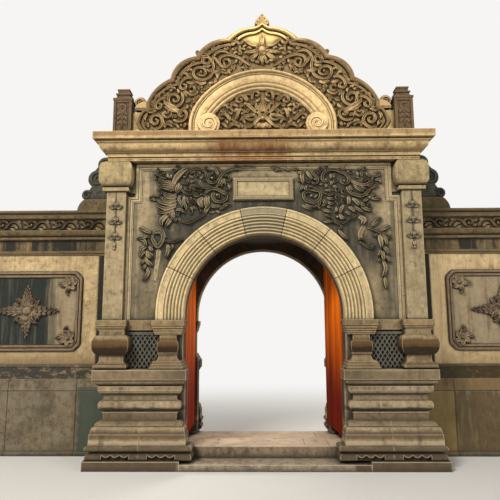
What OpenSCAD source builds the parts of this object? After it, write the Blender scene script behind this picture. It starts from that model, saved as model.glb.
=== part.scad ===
// Garden gate: a round-headed stone gateway in a wall, with two timber leaves.
// X runs along the wall, Y through the passage (front is -Y), Z up, in millimetres.
// The origin is at ground level under the middle of the passage.

/* [Passage] */
// Clear width of the arch between its reveals
passage_w = 1930; // [1600:10:2300]
// Height of the imposts' top, where the arch ring stands
impost_z = 1661; // [1550:5:1900]
// Upright length of the ring below its true springing
stilt = 79; // [20:1:160]
// Width of the ring of arch stones on the face
ring_w = 335; // [240:5:380]
// Number of stones in each arch ring
voussoirs = 7; // [5:2:11]
// Thickness of the front wall, in which the front arch stands
front_wall_t = 250; // [200:10:320]
// Thickness of the rear wall, in which the rear arch stands
rear_wall_t = 190; // [150:10:240]
// Depth of each recess that takes an open leaf
recess = 85; // [75:1:110]
// Height of the flat ceiling between the two arches
ceiling_z = 2790; // [2770:5:3000]

/* [Piers] */
// Width of each pier, from the reveal to its outer side
pier_w = 935; // [880:5:1100]
// Depth of the gate's masonry, from wall face to wall face
wall_d = 1500; // [1400:10:1700]
// Height of the masonry, where the cornice begins
wall_z = 3614; // [3500:2:3900]
// Width of a corner pilaster
pilaster_w = 234; // [210:2:260]
// Projection of a corner pilaster in front of the wall face
pilaster_p = 100; // [80:5:120]
// Height of the cushion of a capital
cushion_h = 318; // [260:2:340]
// Joint left between the stones of an arch, a step or a floor
joint_w = 3; // [2:0.5:5]

/* [Base] */
// Height of the slabs under the pedestals
slab_h = 105; // [80:5:140]
// Height of the carved foot of a pedestal
foot_h = 157; // [130:1:180]
// Height of a pedestal from its foot to the top of its cap
pedestal_h = 830; // [760:5:900]
// Height of the lower step and of the passage floor
step_h = 75; // [60:5:100]
// Height of the sill's top
sill_h = 200; // [160:5:220]
// Depth of the lower step's tread
tread = 300; // [250:5:350]

/* [Crown] */
// Height of the cornice with its frieze
cornice_h = 331; // [300:1:380]
// Overhang of the cornice's top slab beyond the pier's side
cornice_p = 180; // [150:5:220]
// Height of the pediment above the cornice
pediment_h = 1582; // [1400:10:1700]
// Thickness of each pediment wall
pediment_t = 290; // [220:5:340]
// Width of the coping on the pediment's outline
coping_w = 95; // [70:5:120]
// Height of a corner post
post_h = 661; // [560:5:760]

/* [Wing walls] */
// Length of the one bay of wing wall that is built on each side
wing_l = 2170; // [1800:10:2400]
// Thickness of the wing walls' plastered part
wing_t = 600; // [480:10:700]
// Height of the wing walls
wing_z = 3111; // [2900:5:3300]
// Height of the wing walls' stone dado
dado_z = 784; // [700:2:900]
// Height where the plastered field begins
field_z = 1102; // [1040:2:1180]
// Height where the plastered field ends
field_top_z = 2519; // [2440:5:2600]

/* [Leaves] */
// Thickness of a leaf
leaf_t = 56; // [45:1:60]
// Gap between the two closed leaves
meeting_gap = 8; // [6:1:16]
// Height of a leaf's lower edge above the sill
leaf_lift = 30; // [20:1:50]
// How far the right leaf stands off its recess
right_leaf_angle = 5; // [0:1:20]

/* [Hidden] */
$fn = 96;

buff = "#b9a07a";
pale = "#c9b48c";
grey = "#8f8672";
dark = "#6b6252";
plaster = "#a39a84";
timber = "#a8431f";

// Main planes
reveal = passage_w / 2;
side = reveal + pier_w;
face = wall_d / 2;
front_in = face - front_wall_t;
rear_in = face - rear_wall_t;
arch_z = impost_z + stilt;
ring_r = reveal + ring_w;
chamber = reveal + recess;
foot_z = slab_h + foot_h;
pedestal_z = foot_z + pedestal_h;
pil_out = side + 28;
pil_in = pil_out - pilaster_w;
pil_y = face + pilaster_p;
slab_y = face + 270;
slab_in = reveal - 5;
step_out = reveal + 205;
sill_d = 450;
jamb_in = reveal - 20;
mortar = 0.5;
cushion_z = wall_z - 5 - cushion_h;
far = 3000;

// Outline helpers: each gives points [offset, height] from the bottom upwards

// A half-round moulding whose crest is at offset o
function bead(o, z0, z1, n = 8) =
    [for (i = [0 : n]) let (a = -90 + 180 * i / n, r = (z1 - z0) / 2)
        [o - r + r * cos(a), z0 + r + r * sin(a)]];
// A quarter curve that leaves upright and arrives level
function ovolo(p, q, n = 6) =
    [for (i = [0 : n]) let (a = 90 * i / n)
        [p[0] + (q[0] - p[0]) * (1 - cos(a)), p[1] + (q[1] - p[1]) * sin(a)]];
// A quarter curve that leaves level and arrives upright
function cavetto(p, q, n = 6) =
    [for (i = [0 : n]) let (a = 90 * i / n)
        [p[0] + (q[0] - p[0]) * sin(a), p[1] + (q[1] - p[1]) * (1 - cos(a))]];
// Points along an arc from p to q that swells to the left of the way by s
function arc_pts(p, q, s, n = 10) =
    let (c = norm(q - p), r = (c * c / 4 + s * s) / (2 * s), m = (p + q) / 2,
         d = (q - p) / c, u = [-d[1], d[0]], o = m - u * (r - s),
         h = asin(c / 2 / r))
    [for (i = [0 : n - 1]) let (a = -h + 2 * h * i / n) o + r * (u * cos(a) + d * sin(a))];
// A reed between radii r0 and r1 that stands h above depth d
function reed(r0, r1, d, h, n = 6) =
    [for (i = [0 : n]) [r0 + (r1 - r0) * i / n, d + h * sin(180 * i / n)]];
function raise(pts, z) = [for (p = pts) [p[0], p[1] + z]];
// Stretches an outline's heights
function tall(pts, k) = [for (p = pts) [p[0], p[1] * k]];
// One coil of a volute: radius r at the start, shrinking to its eye; hand is 1 or -1
function coil(r, turns, start, hand, n = 26) =
    [for (i = [0 : n]) let (a = start + hand * 360 * turns * i / n, q = r * (1 - 0.8 * i / n))
        [q * cos(a), q * sin(a)]];

// A block with moulded front and ends and a flat back: x0..x1, front -y0, back -y1
module moulded(x0, x1, y0, y1, prof) {
    n = len(prof);
    z0 = prof[0][1];
    z1 = prof[n - 1][1];
    intersection() {
        translate([0, -y1, 0])
            rotate([90, 0, 0])
                linear_extrude(height = y0 - y1 + far)
                    polygon(concat(
                        [for (p = prof) [x1 + p[0], p[1]]],
                        [for (i = [n - 1 : -1 : 0]) [x0 - prof[i][0], prof[i][1]]]));
        translate([x0 - far, 0, 0])
            rotate([90, 0, 90])
                linear_extrude(height = x1 - x0 + 2 * far)
                    polygon(concat(
                        [for (p = prof) [-y0 - p[0], p[1]]],
                        [[-y1, z1], [-y1, z0]]));
    }
}

// A slab moulded on all four sides
module moulded_all(x, y, prof) {
    n = len(prof);
    intersection() {
        translate([0, far, 0])
            rotate([90, 0, 0])
                linear_extrude(height = 2 * far)
                    polygon(concat([for (p = prof) [x + p[0], p[1]]],
                        [for (i = [n - 1 : -1 : 0]) [-x - prof[i][0], prof[i][1]]]));
        translate([-far, 0, 0])
            rotate([90, 0, 90])
                linear_extrude(height = 2 * far)
                    polygon(concat([for (p = prof) [y + p[0], p[1]]],
                        [for (i = [n - 1 : -1 : 0]) [-y - prof[i][0], prof[i][1]]]));
    }
}

// A raised band that winds into the middle of a disc
module volute(r, turns, band, start, hand) {
    outer = coil(r, turns, start, hand);
    inner = coil(r - band, turns, start, hand);
    polygon(concat(outer, [for (i = [len(inner) - 1 : -1 : 0]) inner[i]]));
}

module box(x0, x1, y0, y1, z0, z1) {
    translate([x0, y0, z0]) cube([x1 - x0, y1 - y0, z1 - z0]);
}

// An outline drawn in X and Z, from y0 to y1
module upright(y0, y1) {
    translate([0, y1, 0]) rotate([90, 0, 0]) linear_extrude(height = y1 - y0) children();
}

module both_sides() {
    children();
    mirror([1, 0, 0]) children();
}

// The rear repeats the front
module both_fronts() {
    children();
    mirror([0, 1, 0]) children();
}

module corners() {
    both_fronts() both_sides() children();
}

// The masonry that a moulded stone is fitted round on the front face
module wall_behind(z0, z1) {
    box(reveal + 15, pil_in, -face, 0, z0 - 1, z1 + 1);
}

// Base

module base_slabs() {
    out = side + 144;
    color(buff) {
        both_sides() box(slab_in, out, rear_in, slab_y, 0, slab_h);
        mirror([1, 0, 0]) box(slab_in, out, -slab_y, -front_in, 0, slab_h);
        difference() {
            box(slab_in, out, -slab_y, -front_in, 0, slab_h);
            box(0, step_out, -far, -slab_y + tread + joint_w, -1, slab_h + 1);
        }
    }
}

// The step's right stone runs on under the pedestal's foot
module lower_step() {
    split = 490;
    color(buff) {
        box(-slab_in, split - joint_w, -slab_y, -slab_y + tread, 0, step_h);
        box(split, step_out, -slab_y, -slab_y + tread, 0, step_h);
    }
}

module sill() {
    x0 = jamb_in - 1;
    x1 = x0 - 190;
    y0 = -slab_y + tread;
    y1 = y0 + 100;
    y2 = -slab_y + tread + sill_d;
    // Places of the joints in the course behind the nosing
    joints = [-566, 471];
    color(dark) {
        both_sides() box(x1 + joint_w, x0, y0, y2, 0, sill_h);
        box(-x1, x1, y0, y1, 0, sill_h);
        box(-x1, joints[0], y1 + joint_w, y2, 0, sill_h);
        box(joints[0] + joint_w, joints[1], y1 + joint_w, y2, 0, sill_h);
        box(joints[1] + joint_w, x1, y1 + joint_w, y2, 0, sill_h);
    }
}

module passage_floor() {
    y0 = -slab_y + tread + sill_d;
    joint = jamb_in - 231;
    color(grey) {
        box(-joint, joint, y0, face, 0, step_h);
        both_sides() {
            box(joint + joint_w, chamber, y0, rear_in - joint_w, 0, step_h);
            box(joint + joint_w, slab_in, rear_in, face, 0, step_h);
        }
    }
}

foot_in = reveal - 101;
// The stones at the rear reach less far into the passage
rear_foot_in = foot_in + 80;
foot_out = side + 84;
foot_y = face + 206;
foot_prof = concat(
    [[24, slab_h], [36, slab_h + 10], [40, slab_h + 26], [36, slab_h + 46], [22, slab_h + 66],
     [2, slab_h + 78], [-12, slab_h + 80], [-12, slab_h + 94]],
    bead(44, slab_h + 94, foot_z));

// A moulded stone of the base: behind the wall face its inner part is a plain jamb
module base_stone(x0, x1, y0, y1, prof) {
    z0 = prof[0][1];
    z1 = prof[len(prof) - 1][1];
    difference() {
        moulded(x0, x1, y0, y1, prof);
        box(0, pil_in, -face, 0, z0 - 1, z1 + 1);
    }
    box(jamb_in, pil_in, -face, -y1, z0, z1);
}

// The hollow under a scalloped apron w wide: it is cut out below three hanging lobes
module under_apron(w) {
    lobe = w / 3;
    high = 62;
    drop = 27;
    linear_extrude(height = 60)
        polygon(concat([[0, -1], [w, -1]],
            [for (i = [2 : -1 : 0], k = [8 : -1 : 0])
                [(i + k / 8) * lobe, high - drop * sin(180 * k / 8)]]));
}

// Foot of a pedestal that begins at x0: blocks at its ends and middle, with aprons between them
module pedestal_foot(x0, back) {
    end = 190;
    middle = 104;
    joint = (foot_in + foot_out) / 2;
    y = -foot_y + 4;
    difference() {
        base_stone(x0, foot_out, foot_y, back, foot_prof);
        translate([x0 - 40 + end, y, slab_h]) rotate([90, 0, 0])
            under_apron(joint - middle - x0 + 40 - end);
        translate([joint + middle, y, slab_h]) rotate([90, 0, 0])
            under_apron(foot_out + 40 - end - joint - middle);
        translate([foot_out - 4, -foot_y - 40 + end, slab_h]) rotate([90, 0, 90])
            under_apron(foot_y + 40 - end - back - 60);
        box(joint - 1.5, joint + 1.5, -foot_y - 60, -face - 1, slab_h - 1, foot_z + 1);
    }
}

module pedestal_feet() {
    color(pale) both_sides() {
        pedestal_foot(foot_in, front_in);
        mirror([0, 1, 0]) pedestal_foot(rear_foot_in, rear_in);
    }
}

ped_in = reveal + 56;
rear_ped_in = ped_in + 25;
ped_out = side - 29;
ped_y = face + 95;
splay_top = 258;
pedestal_prof = raise(concat(
    [[126, 0], [122, 122], [112, 122], [112, 132]],
    ovolo([112, 132], [84, 194]),
    [[72, 196], [72, 204]],
    ovolo([74, 204], [10, 256]),
    [[0, splay_top], [0, 334], [10, 334], [10, 352], [2, 352], [2, 368]],
    [for (i = [0 : 9]) let (a = -90 + 18 * i) [20 + 32 * cos(a), 424 + 54 * sin(a)]],
    cavetto([14, 482], [0, 504]),
    [[0, 544]],
    cavetto([0, 544], [50, 590]),
    [[58, 590], [58, 643], [24, 643]],
    cavetto([24, 646], [98, 706]),
    [[106, 706], [118, 716], [118, pedestal_h]]), foot_z);

// The splayed lower part is cut by the joint that runs up from the foot
module pedestal(x0, back) {
    joint = (foot_in + foot_out) / 2;
    difference() {
        base_stone(x0, ped_out, ped_y, back, pedestal_prof);
        box(joint - 1.5, joint + 1.5, -far, -ped_y + 20, foot_z - 1, foot_z + splay_top);
    }
}

module pedestals() {
    color(pale) both_sides() {
        pedestal(ped_in, front_in);
        mirror([0, 1, 0]) pedestal(rear_ped_in, rear_in);
    }
}

// Dies between the pedestals and the imposts

die_h = impost_z - 119 - pedestal_z;
inner_die_h = die_h - 50;

// The corner die is a swelling vase
corner_die_prof = raise(tall(concat(
    bead(62, 0, 62),
    cavetto([46, 64], [8, 110]),
    [[8, 158]],
    cavetto([10, 162], [84, 282], 9),
    ovolo([84, 292], [26, 392], 9),
    cavetto([24, 392], [13, 412]),
    [[13, 450]]), die_h / 450), pedestal_z);

inner_die_prof = raise(tall(concat(
    [[92, 0], [92, 26], [80, 30], [76, 34], [76, 58], [64, 62], [60, 66], [60, 90], [48, 94]],
    cavetto([44, 96], [2, 158]),
    [[0, 170], [12, 170], [12, 190], [4, 194]],
    cavetto([4, 196], [22, 246]),
    ovolo([22, 264], [2, 322]),
    [[-2, 324], [-6, 332], [-6, 400]]), inner_die_h / 400), pedestal_z);

inner_die_x = [reveal + 68, reveal + 278];
corner_die_x = [pil_in - 32, pil_out];

module corner_dies() {
    color(pale) corners() difference() {
        moulded(corner_die_x[0], corner_die_x[1], pil_y + 22, rear_in, corner_die_prof);
        wall_behind(pedestal_z, impost_z);
    }
}

module inner_dies() {
    color(pale) corners() difference() {
        moulded(inner_die_x[0], inner_die_x[1], face + 95, rear_in, inner_die_prof);
        wall_behind(pedestal_z, impost_z);
    }
}

// The space between the two dies, seen from the front
module between_dies() {
    top = impost_z - 119 - mortar;
    intersection() {
        polygon(concat(
            [for (p = inner_die_prof) [inner_die_x[1] + p[0] + mortar, p[1]]],
            [[inner_die_x[1] + 30, impost_z - 170], [inner_die_x[1] + 90, impost_z - 170]],
            [[inner_die_x[1] + 90, top]],
            [for (i = [len(corner_die_prof) - 1 : -1 : 0])
                [corner_die_x[0] - corner_die_prof[i][0] - mortar, corner_die_prof[i][1]]]));
        translate([0, pedestal_z + mortar]) square([far, top - pedestal_z - mortar]);
    }
}

// A sunk lattice of upright lozenges that fills the space between the two dies
module lattice_panels() {
    bar = 12;
    pitch = 46;
    lean = 57;
    x = (inner_die_x[1] + corner_die_x[0]) / 2;
    z = pedestal_z + die_h / 2;
    color(grey) corners() translate([0, -face, 0]) rotate([90, 0, 0]) {
        linear_extrude(height = 6) between_dies();
        linear_extrude(height = 26) intersection() {
            between_dies();
            for (k = [-6 : 6], a = [lean, -lean])
                translate([x, z]) rotate(a)
                    translate([-far / 4, k * pitch - bar / 2]) square([far / 2, bar]);
        }
        linear_extrude(height = 34) intersection() {
            between_dies();
            translate([0, impost_z - 172]) square([far, 30]);
        }
    }
}

impost_prof = raise(concat([[0, -119], [0, -108], [5, -106]], cavetto([5, -100], [15, -84]),
    [[15, -74], [26, -70], [26, 0]]), impost_z);
inner_impost_prof = raise([[0, -169], [0, -152], [9, -149], [9, -133], [4, -130], [14, -124], [14, -108],
    [9, -104], [22, -96], [22, -76], [17, -73], [31, -66], [31, 0]], impost_z);

module imposts() {
    color(buff) corners() difference() {
        union() {
            moulded(pil_in - 38, pil_out + 36, pil_y + 30, rear_in, impost_prof);
            moulded(reveal + 15, reveal + 335, face + 100, rear_in, inner_impost_prof);
            box(reveal + 360, pil_in - 51, -face - 50, -face, impost_z - 119, impost_z);
        }
        wall_behind(impost_z - 200, impost_z);
    }
}

module pilasters() {
    color(buff) corners()
        box(pil_in, pil_out, -pil_y, -rear_in, impost_z, cushion_z - 59);
}

// The cushion swells fast from its bed, stands almost upright, and closes fast
capital_prof = concat(
    [[22, cushion_z - 59], [29, cushion_z - 52], [29, cushion_z - 16], [22, cushion_z - 8], [10, cushion_z - 8],
     [10, cushion_z]],
    [for (i = [0 : 16]) let (a = -90 + 180 * i / 16)
        [4 + 72 * pow(cos(a), 0.72), cushion_z + cushion_h / 2 * (1 + sin(a))]]);

// The pillow's upright corners are rounded, and a plate joins it to the wall
module capitals() {
    round = 62;
    out = 84;
    x0 = pil_in - 10;
    x1 = pil_out + 20;
    color(pale) corners() difference() {
        union() {
            intersection() {
                moulded(x0, x1, pil_y, rear_in, concat(capital_prof, [[26, wall_z - 5], [26, wall_z]]));
                translate([0, 0, cushion_z - 60]) linear_extrude(height = cushion_h + 70) union() {
                    translate([x0 - out + round, -pil_y - out])
                        square([x1 - x0 + 2 * (out - round), pil_y + out]);
                    translate([x0 - out, -pil_y - out + round])
                        square([x1 - x0 + 2 * out, pil_y + out - round]);
                    for (x = [x0 - out + round, x1 + out - round])
                        translate([x, -pil_y - out + round]) circle(r = round);
                }
            }
            box(x0 - out - 9, x0, -face - 18, -face, cushion_z - 59, wall_z - 14);
        }
        wall_behind(cushion_z - 100, wall_z);
    }
}

// Masonry

module left_pier() {
    color(buff) mirror([1, 0, 0]) box(chamber, side, -front_in, rear_in, 0, wall_z);
}
module right_pier() {
    color(buff) box(chamber, side, -front_in, rear_in, 0, wall_z);
}

// The wall between the dies, in front of the piers and behind them
module jambs() {
    color(buff) both_sides() {
        box(reveal + 15, pil_in, -face, -front_in, pedestal_z, impost_z);
        box(reveal + 15, pil_in, rear_in, face, pedestal_z, impost_z);
    }
}

module wall_head(t) {
    color(buff) difference() {
        box(-pil_in, pil_in, -face, -face + t, impost_z, wall_z);
        translate([0, 1, arch_z]) rotate([90, 0, 0])
            cylinder(r = ring_r + mortar, h = face + 2, $fn = 360);
        box(-ring_r - mortar, ring_r + mortar, -face - 1, 1, impost_z - 1, arch_z);
    }
}
module front_wall_head() { wall_head(front_wall_t); }
module rear_wall_head() { mirror([0, 1, 0]) wall_head(rear_wall_t); }

// Section of an arch stone: [radius, depth from the wall face outwards]. Six reeds step forwards from
// the reveal to a plain outer fascia
module ring_section(t) {
    r = reveal;
    pitch = ring_w * 0.118;
    polygon(concat(
        [[r, -t], [r, 16]],
        [for (k = [0 : 5], p = concat(
            reed(r + k * pitch + 3, r + (k + 1) * pitch - 3, 20 + 7 * k, 14, 5),
            [[r + (k + 1) * pitch, 17 + 7 * k]])) p],
        [[r + 6 * pitch + 8, 64], [ring_r - 26, 70], [ring_r - 22, 80], [ring_r - 6, 80], [ring_r, 70],
         [ring_r, -t]]));
}

// The stones of a ring; the two lowest run straight down to the imposts
module arch_ring(t) {
    step = 180 / voussoirs;
    gap = joint_w / reveal * 180 / PI;
    color(pale) {
        for (i = [1 : voussoirs - 2])
            translate([0, -face, arch_z]) rotate([90, 0, 0]) rotate([0, 0, i * step + gap / 2])
                rotate_extrude(angle = step - gap, $fn = 360) ring_section(t);
        both_sides() {
            translate([0, -face, arch_z]) rotate([90, 0, 0])
                rotate_extrude(angle = step - gap / 2, $fn = 360) ring_section(t);
            translate([0, -face, impost_z]) linear_extrude(height = stilt)
                mirror([0, 1]) ring_section(t);
        }
    }
}
module front_arch_ring() { arch_ring(front_wall_t); }
module rear_arch_ring() { mirror([0, 1, 0]) arch_ring(rear_wall_t); }

module passage_lintel() {
    color(dark) box(-chamber, chamber, -front_in, rear_in, ceiling_z, wall_z);
}

// Frame of the spandrel panel, with its ears
module spandrel_frames() {
    top = wall_z - 14;
    ear_z = impost_z + 1523;
    lower = pil_in - 4;
    upper = pil_in - 103;
    // Each strip of the frame: its outer and inner edge and how far it stands out
    strips = [[0, 30, 26], [29, 42, 14], [41, 58, 22], [57, 72, 10]];
    function eared(d, foot) = [
        [lower - d, foot], [lower - d, ear_z - d], [upper - d, ear_z - d], [upper - d, top - d],
        [-upper + d, top - d], [-upper + d, ear_z - d], [-lower + d, ear_z - d], [-lower + d, foot]];
    color(grey) both_fronts()
        for (s = strips)
            upright(-face - s[2], -face) difference() {
                polygon(eared(s[0], impost_z));
                polygon(eared(s[1], impost_z - 1));
            }
}

module plaques() {
    w = 750;
    h = 288;
    z0 = wall_z - 482;
    rim = 24;
    color(pale) both_fronts() difference() {
        union() {
            box(-w / 2, w / 2, -face - 34, -face, z0, z0 + h);
            box(-w / 2 + rim / 2, w / 2 - rim / 2, -face - 48, -face - 33, z0 + rim / 2, z0 + h - rim / 2);
        }
        box(-w / 2 + 2 * rim, w / 2 - 2 * rim, -face - 60, -face - 36, z0 + 2 * rim, z0 + h - 2 * rim);
    }
}

// Crown

cornice_y = face + 110;

// Cuts a course that runs through the gate into stones, at places given as shares of its half width
module stones(places, z) {
    difference() {
        children();
        for (p = places) box(p * side, p * side + joint_w, -far, far, z, z + cornice_h);
    }
}

module entablature() {
    color(buff) stones([-0.45, 0.16], wall_z - 1)
        moulded_all(side + 5, cornice_y, [[17, wall_z], [17, wall_z + 34], [8, wall_z + 36],
            [8, wall_z + 48], [28, wall_z + 50], [28, wall_z + 98]]);
}

module cornice() {
    z0 = wall_z + 98;
    z1 = wall_z + cornice_h;
    slab = cornice_p - 5;
    color(pale) stones([-0.52, 0.148, 0.59], z0 - 1)
        moulded_all(side + 5, cornice_y, concat(
            [[46, z0], [46, z0 + 8]],
            cavetto([50, z0 + 10], [114, z1 - 132], 9),
            [[120, z1 - 132], [120, z1 - 126]],
            bead(136, z1 - 126, z1 - 98),
            [[118, z1 - 97], [slab - 4, z1 - 92], [slab, z1 - 88], [slab, z1]]));
}

crown_z = wall_z + cornice_h;
ped_face = face + 25;
ped_wall_y = ped_face - 35;
pediment_r = side - 293;

// Half of the pediment's outline, from the right foot to the peak: a leaf-shaped foot, four lobes
// and a last lobe that turns upwards to the point
function pediment_cusps(r, h) = [
    [r - 105, crown_z], [r - 78, crown_z + 92], [r + 10, crown_z + 205], [r - 121, crown_z + 405],
    [r - 118, crown_z + 480], [r - 422, crown_z + h - 770], [r - 745, crown_z + h - 470],
    [r - 1144, crown_z + h - 225], [110, crown_z + h - 62], [0, crown_z + h]];
function half_outline(r, h) =
    let (c = pediment_cusps(r, h))
    concat(
        [c[0]],
        arc_pts(c[1], c[2], -12, 6),
        arc_pts(c[2], c[3], -30),
        [c[3]],
        arc_pts(c[4], c[5], -48),
        arc_pts(c[5], c[6], -80),
        arc_pts(c[6], c[7], -70),
        arc_pts(c[7], c[8], -42),
        arc_pts(c[8], c[9], 9, 5),
        [c[9]]);

module pediment_outline(inset) {
    half = half_outline(pediment_r - inset, pediment_h - inset);
    polygon(concat(half, [for (i = [len(half) - 2 : -1 : 0]) [-half[i][0], half[i][1]]]));
}

module pediment_walls() {
    color(grey) both_fronts()
        upright(-ped_wall_y, -ped_wall_y + pediment_t) pediment_outline(coping_w);
}

disc_x = pediment_r - 36;
disc_z = crown_z + 491;
disc_r = 76;

// The coping flicks outwards at each end, and a volute disc sits in the flick
module coping_end() {
    flick = pediment_r + 26;
    upright(-ped_face - 12, -ped_wall_y + pediment_t) polygon(concat(
        [[pediment_r - 156, crown_z + 530]],
        arc_pts([pediment_r - 122, crown_z + 492], [flick, disc_z - disc_r - 4], 26),
        [[flick, disc_z - disc_r - 4], [flick, disc_z - disc_r - 34]],
        arc_pts([flick - 10, disc_z - disc_r - 42], [pediment_r - 136, crown_z + 352], -10),
        [[pediment_r - 162, crown_z + 384]]));
    translate([disc_x, 0, disc_z]) rotate([90, 0, 0]) {
        translate([0, 0, ped_wall_y - 120]) cylinder(r = disc_r, h = 132);
        translate([0, 0, ped_wall_y + 11]) linear_extrude(height = 14)
            volute(disc_r, 1.6, 17, -90, 1);
    }
}

// The coping's section in strips from the edge inwards: a round roll, a deep quirk and a fillet
module pediment_copings() {
    roll = 50;
    quirk = coping_w - 27;
    strips = [[0, coping_w, -26], [0, roll, 0], [5, roll - 6, 9], [13, roll - 14, 15],
        [quirk, coping_w, -6]];
    back = -ped_wall_y + pediment_t;
    color(grey) both_fronts() {
        for (s = strips)
            upright(-ped_face - s[2], back + (s[1] == coping_w ? 0 : 10)) difference() {
                pediment_outline(s[0]);
                pediment_outline(s[1]);
            }
        both_sides() coping_end();
    }
}

// Section of the hood at inner radius r: [radius, depth in front of the pediment wall]
hood_w = 270;
module hood_section(r) {
    polygon(concat(
        [[r, 0], [r, 28]],
        reed(r + 3, r + 40, 30, 16),
        [[r + 46, 34]],
        reed(r + 50, r + 88, 42, 16),
        [[r + 95, 44], [r + 103, 54]],
        reed(r + 105, r + 196, 56, 14),
        [[r + 201, 50]],
        reed(r + 205, r + 219, 60, 8, 4),
        [[r + 224, 54]],
        reed(r + 228, r + hood_w - 3, 64, 20),
        [[r + hood_w, 60], [r + hood_w, 0]]));
}

// The hood is a three-centred oval: a flat crown arc between two tighter side arcs
module hood_rings() {
    z = crown_z + 155;
    half_w = 939;
    rise = 758;
    r1 = 560;
    r2 = (half_w * half_w + rise * rise - 2 * half_w * r1) / (2 * (rise - r1));
    lean = atan((half_w - r1) / (r2 - rise));
    gap = joint_w / r2 * 180 / PI;
    eye_r = 140;
    eye = [half_w - hood_w + 16, 0, 20];
    color(pale) both_fronts() translate([0, -ped_wall_y, z]) {
        rotate([90, 0, 0]) translate([0, rise - r2]) rotate([0, 0, 90 - lean + gap])
            rotate_extrude(angle = 2 * (lean - gap), $fn = 360) hood_section(r2 - hood_w);
        both_sides() {
            difference() {
                union() {
                    translate([half_w - r1, 0, 0]) rotate([90, 0, 0])
                        rotate_extrude(angle = 90 - lean, $fn = 360) hood_section(r1 - hood_w);
                    translate([half_w - r1, 0, -155]) linear_extrude(height = 155)
                        mirror([0, 1]) hood_section(r1 - hood_w);
                }
                translate(eye) rotate([90, 0, 0])
                    translate([0, 0, -1]) cylinder(r = eye_r + mortar, h = 200);
            }
            translate(eye) rotate([90, 0, 0]) {
                cylinder(r = eye_r, h = 82);
                translate([0, 0, 81]) linear_extrude(height = 14) volute(eye_r, 1.7, 34, 0, -1);
            }
        }
    }
}

post_x = side - 116;
post_half = 114;
module corner_posts() {
    w = post_half;
    y = face - 40;
    shaft_h = post_h - 150;
    sunk = 30;
    color(grey) corners() translate([post_x, -y, crown_z]) difference() {
        moulded_all(0, 0, concat(
            [[w, 0], [w, shaft_h - 14], [w + 8, shaft_h - 12], [w + 8, shaft_h + 14], [w - 4, shaft_h + 18]],
            cavetto([w - 4, shaft_h + 20], [w - 32, shaft_h + 62]),
            bead(w - 18, shaft_h + 64, shaft_h + 92),
            [[w - 42, shaft_h + 94], [w - 42, post_h - 24], [w - 34, post_h - 18], [w - 34, post_h]]));
        box(-w + sunk, w - sunk, -w - 1, -w + 12, sunk, shaft_h - 44);
    }
}

// A stone fitted between the pediment's foot and the corner post
module end_blocks() {
    color(pale) corners() upright(-face - 20, -face + 150) difference() {
        translate([pediment_r - 150, crown_z])
            square([post_x - post_half - mortar - pediment_r + 150, disc_z - disc_r - 64 - crown_z]);
        pediment_outline(-mortar);
    }
}

// A trefoil of curled leaves: its eyes are drilled
module finials() {
    z = crown_z + pediment_h;
    lobes = [[-62, z + 6, 34], [62, z + 6, 34], [-30, z + 52, 30], [30, z + 52, 30], [0, z + 92, 26]];
    color(pale) both_fronts() difference() {
        upright(-face - 30, -face + 130) {
            for (c = lobes) translate([c[0], c[1]]) circle(r = c[2]);
            polygon([[-70, z - 40], [70, z - 40], [22, z + 84], [0, z + 128], [-22, z + 84]]);
        }
        upright(-face - 100, -face + 300) pediment_outline(0);
        for (c = lobes)
            translate([c[0], -face - 20, c[1]]) rotate([90, 0, 0]) cylinder(r = 9, h = 20);
    }
}

// Wing walls

wing_x = side + wing_l;

// A wing wall's course, moulded alike on both faces; the offsets count from the plastered face
module wing_course(s, prof) {
    y = wing_t / 2;
    mirror([s < 0 ? 1 : 0, 0, 0]) translate([side, 0, 0]) rotate([90, 0, 90])
        linear_extrude(height = wing_l)
            polygon(concat([for (p = prof) [y + p[0], p[1]]],
                [for (i = [len(prof) - 1 : -1 : 0]) [-y - prof[i][0], prof[i][1]]]));
}

// Plinth, plain stones, a weathered slope and a sunk band under a thin fillet
module wing_dado(s) {
    color(grey) wing_course(s, [[60, 0], [60, 44], [30, 52], [30, dado_z - 6], [24, dado_z - 6],
        [24, dado_z], [34, dado_z + 4], [10, dado_z + 142], [0, dado_z + 142], [0, field_z - 26],
        [14, field_z - 22], [14, field_z]]);
}
module left_wing_dado() { wing_dado(-1); }
module right_wing_dado() { wing_dado(1); }

module wing_wall(s) {
    y = wing_t / 2;
    color(plaster) mirror([s < 0 ? 1 : 0, 0, 0]) box(side, wing_x, -y, y, field_z, field_top_z);
}
module left_wing_wall() { wing_wall(-1); }
module right_wing_wall() { wing_wall(1); }

module panel_frames() {
    middle = side + 1180;
    half_w = 718;
    z = (field_z + 173 + field_top_z - 217) / 2;
    half_h = (field_top_z - field_z - 390) / 2;
    cut = 112;
    y = wing_t / 2;
    // Each strip of the frame: its outer and inner edge and how far it stands out
    strips = [[0, 78, 12], [4, 36, 24], [9, 31, 32], [50, 74, 22]];
    // A corner with two lobes that meet in a notch
    function corner(w, h, c) = concat(
        arc_pts([w, h - c], [w - c / 2.6, h - c / 2.6], -c / 9, 6),
        arc_pts([w - c / 2.6, h - c / 2.6], [w - c, h], -c / 9, 6), [[w - c, h]]);
    function frame(d) =
        let (q = corner(half_w - d, half_h - d, cut - d * 0.3), n = len(q) - 1)
        concat(q, [for (i = [n : -1 : 0]) [-q[i][0], q[i][1]]], [for (p = q) -p],
            [for (i = [n : -1 : 0]) [q[i][0], -q[i][1]]]);
    color(dark) corners() {
        for (s = strips)
            upright(-y - s[2], -y) translate([middle, z]) difference() {
                polygon(frame(s[0]));
                polygon(frame(s[1]));
            }
        // The strip that closes the plaster against the pier
        box(side, side + 266, -y - 12, -y, field_z, field_top_z);
    }
}

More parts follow.
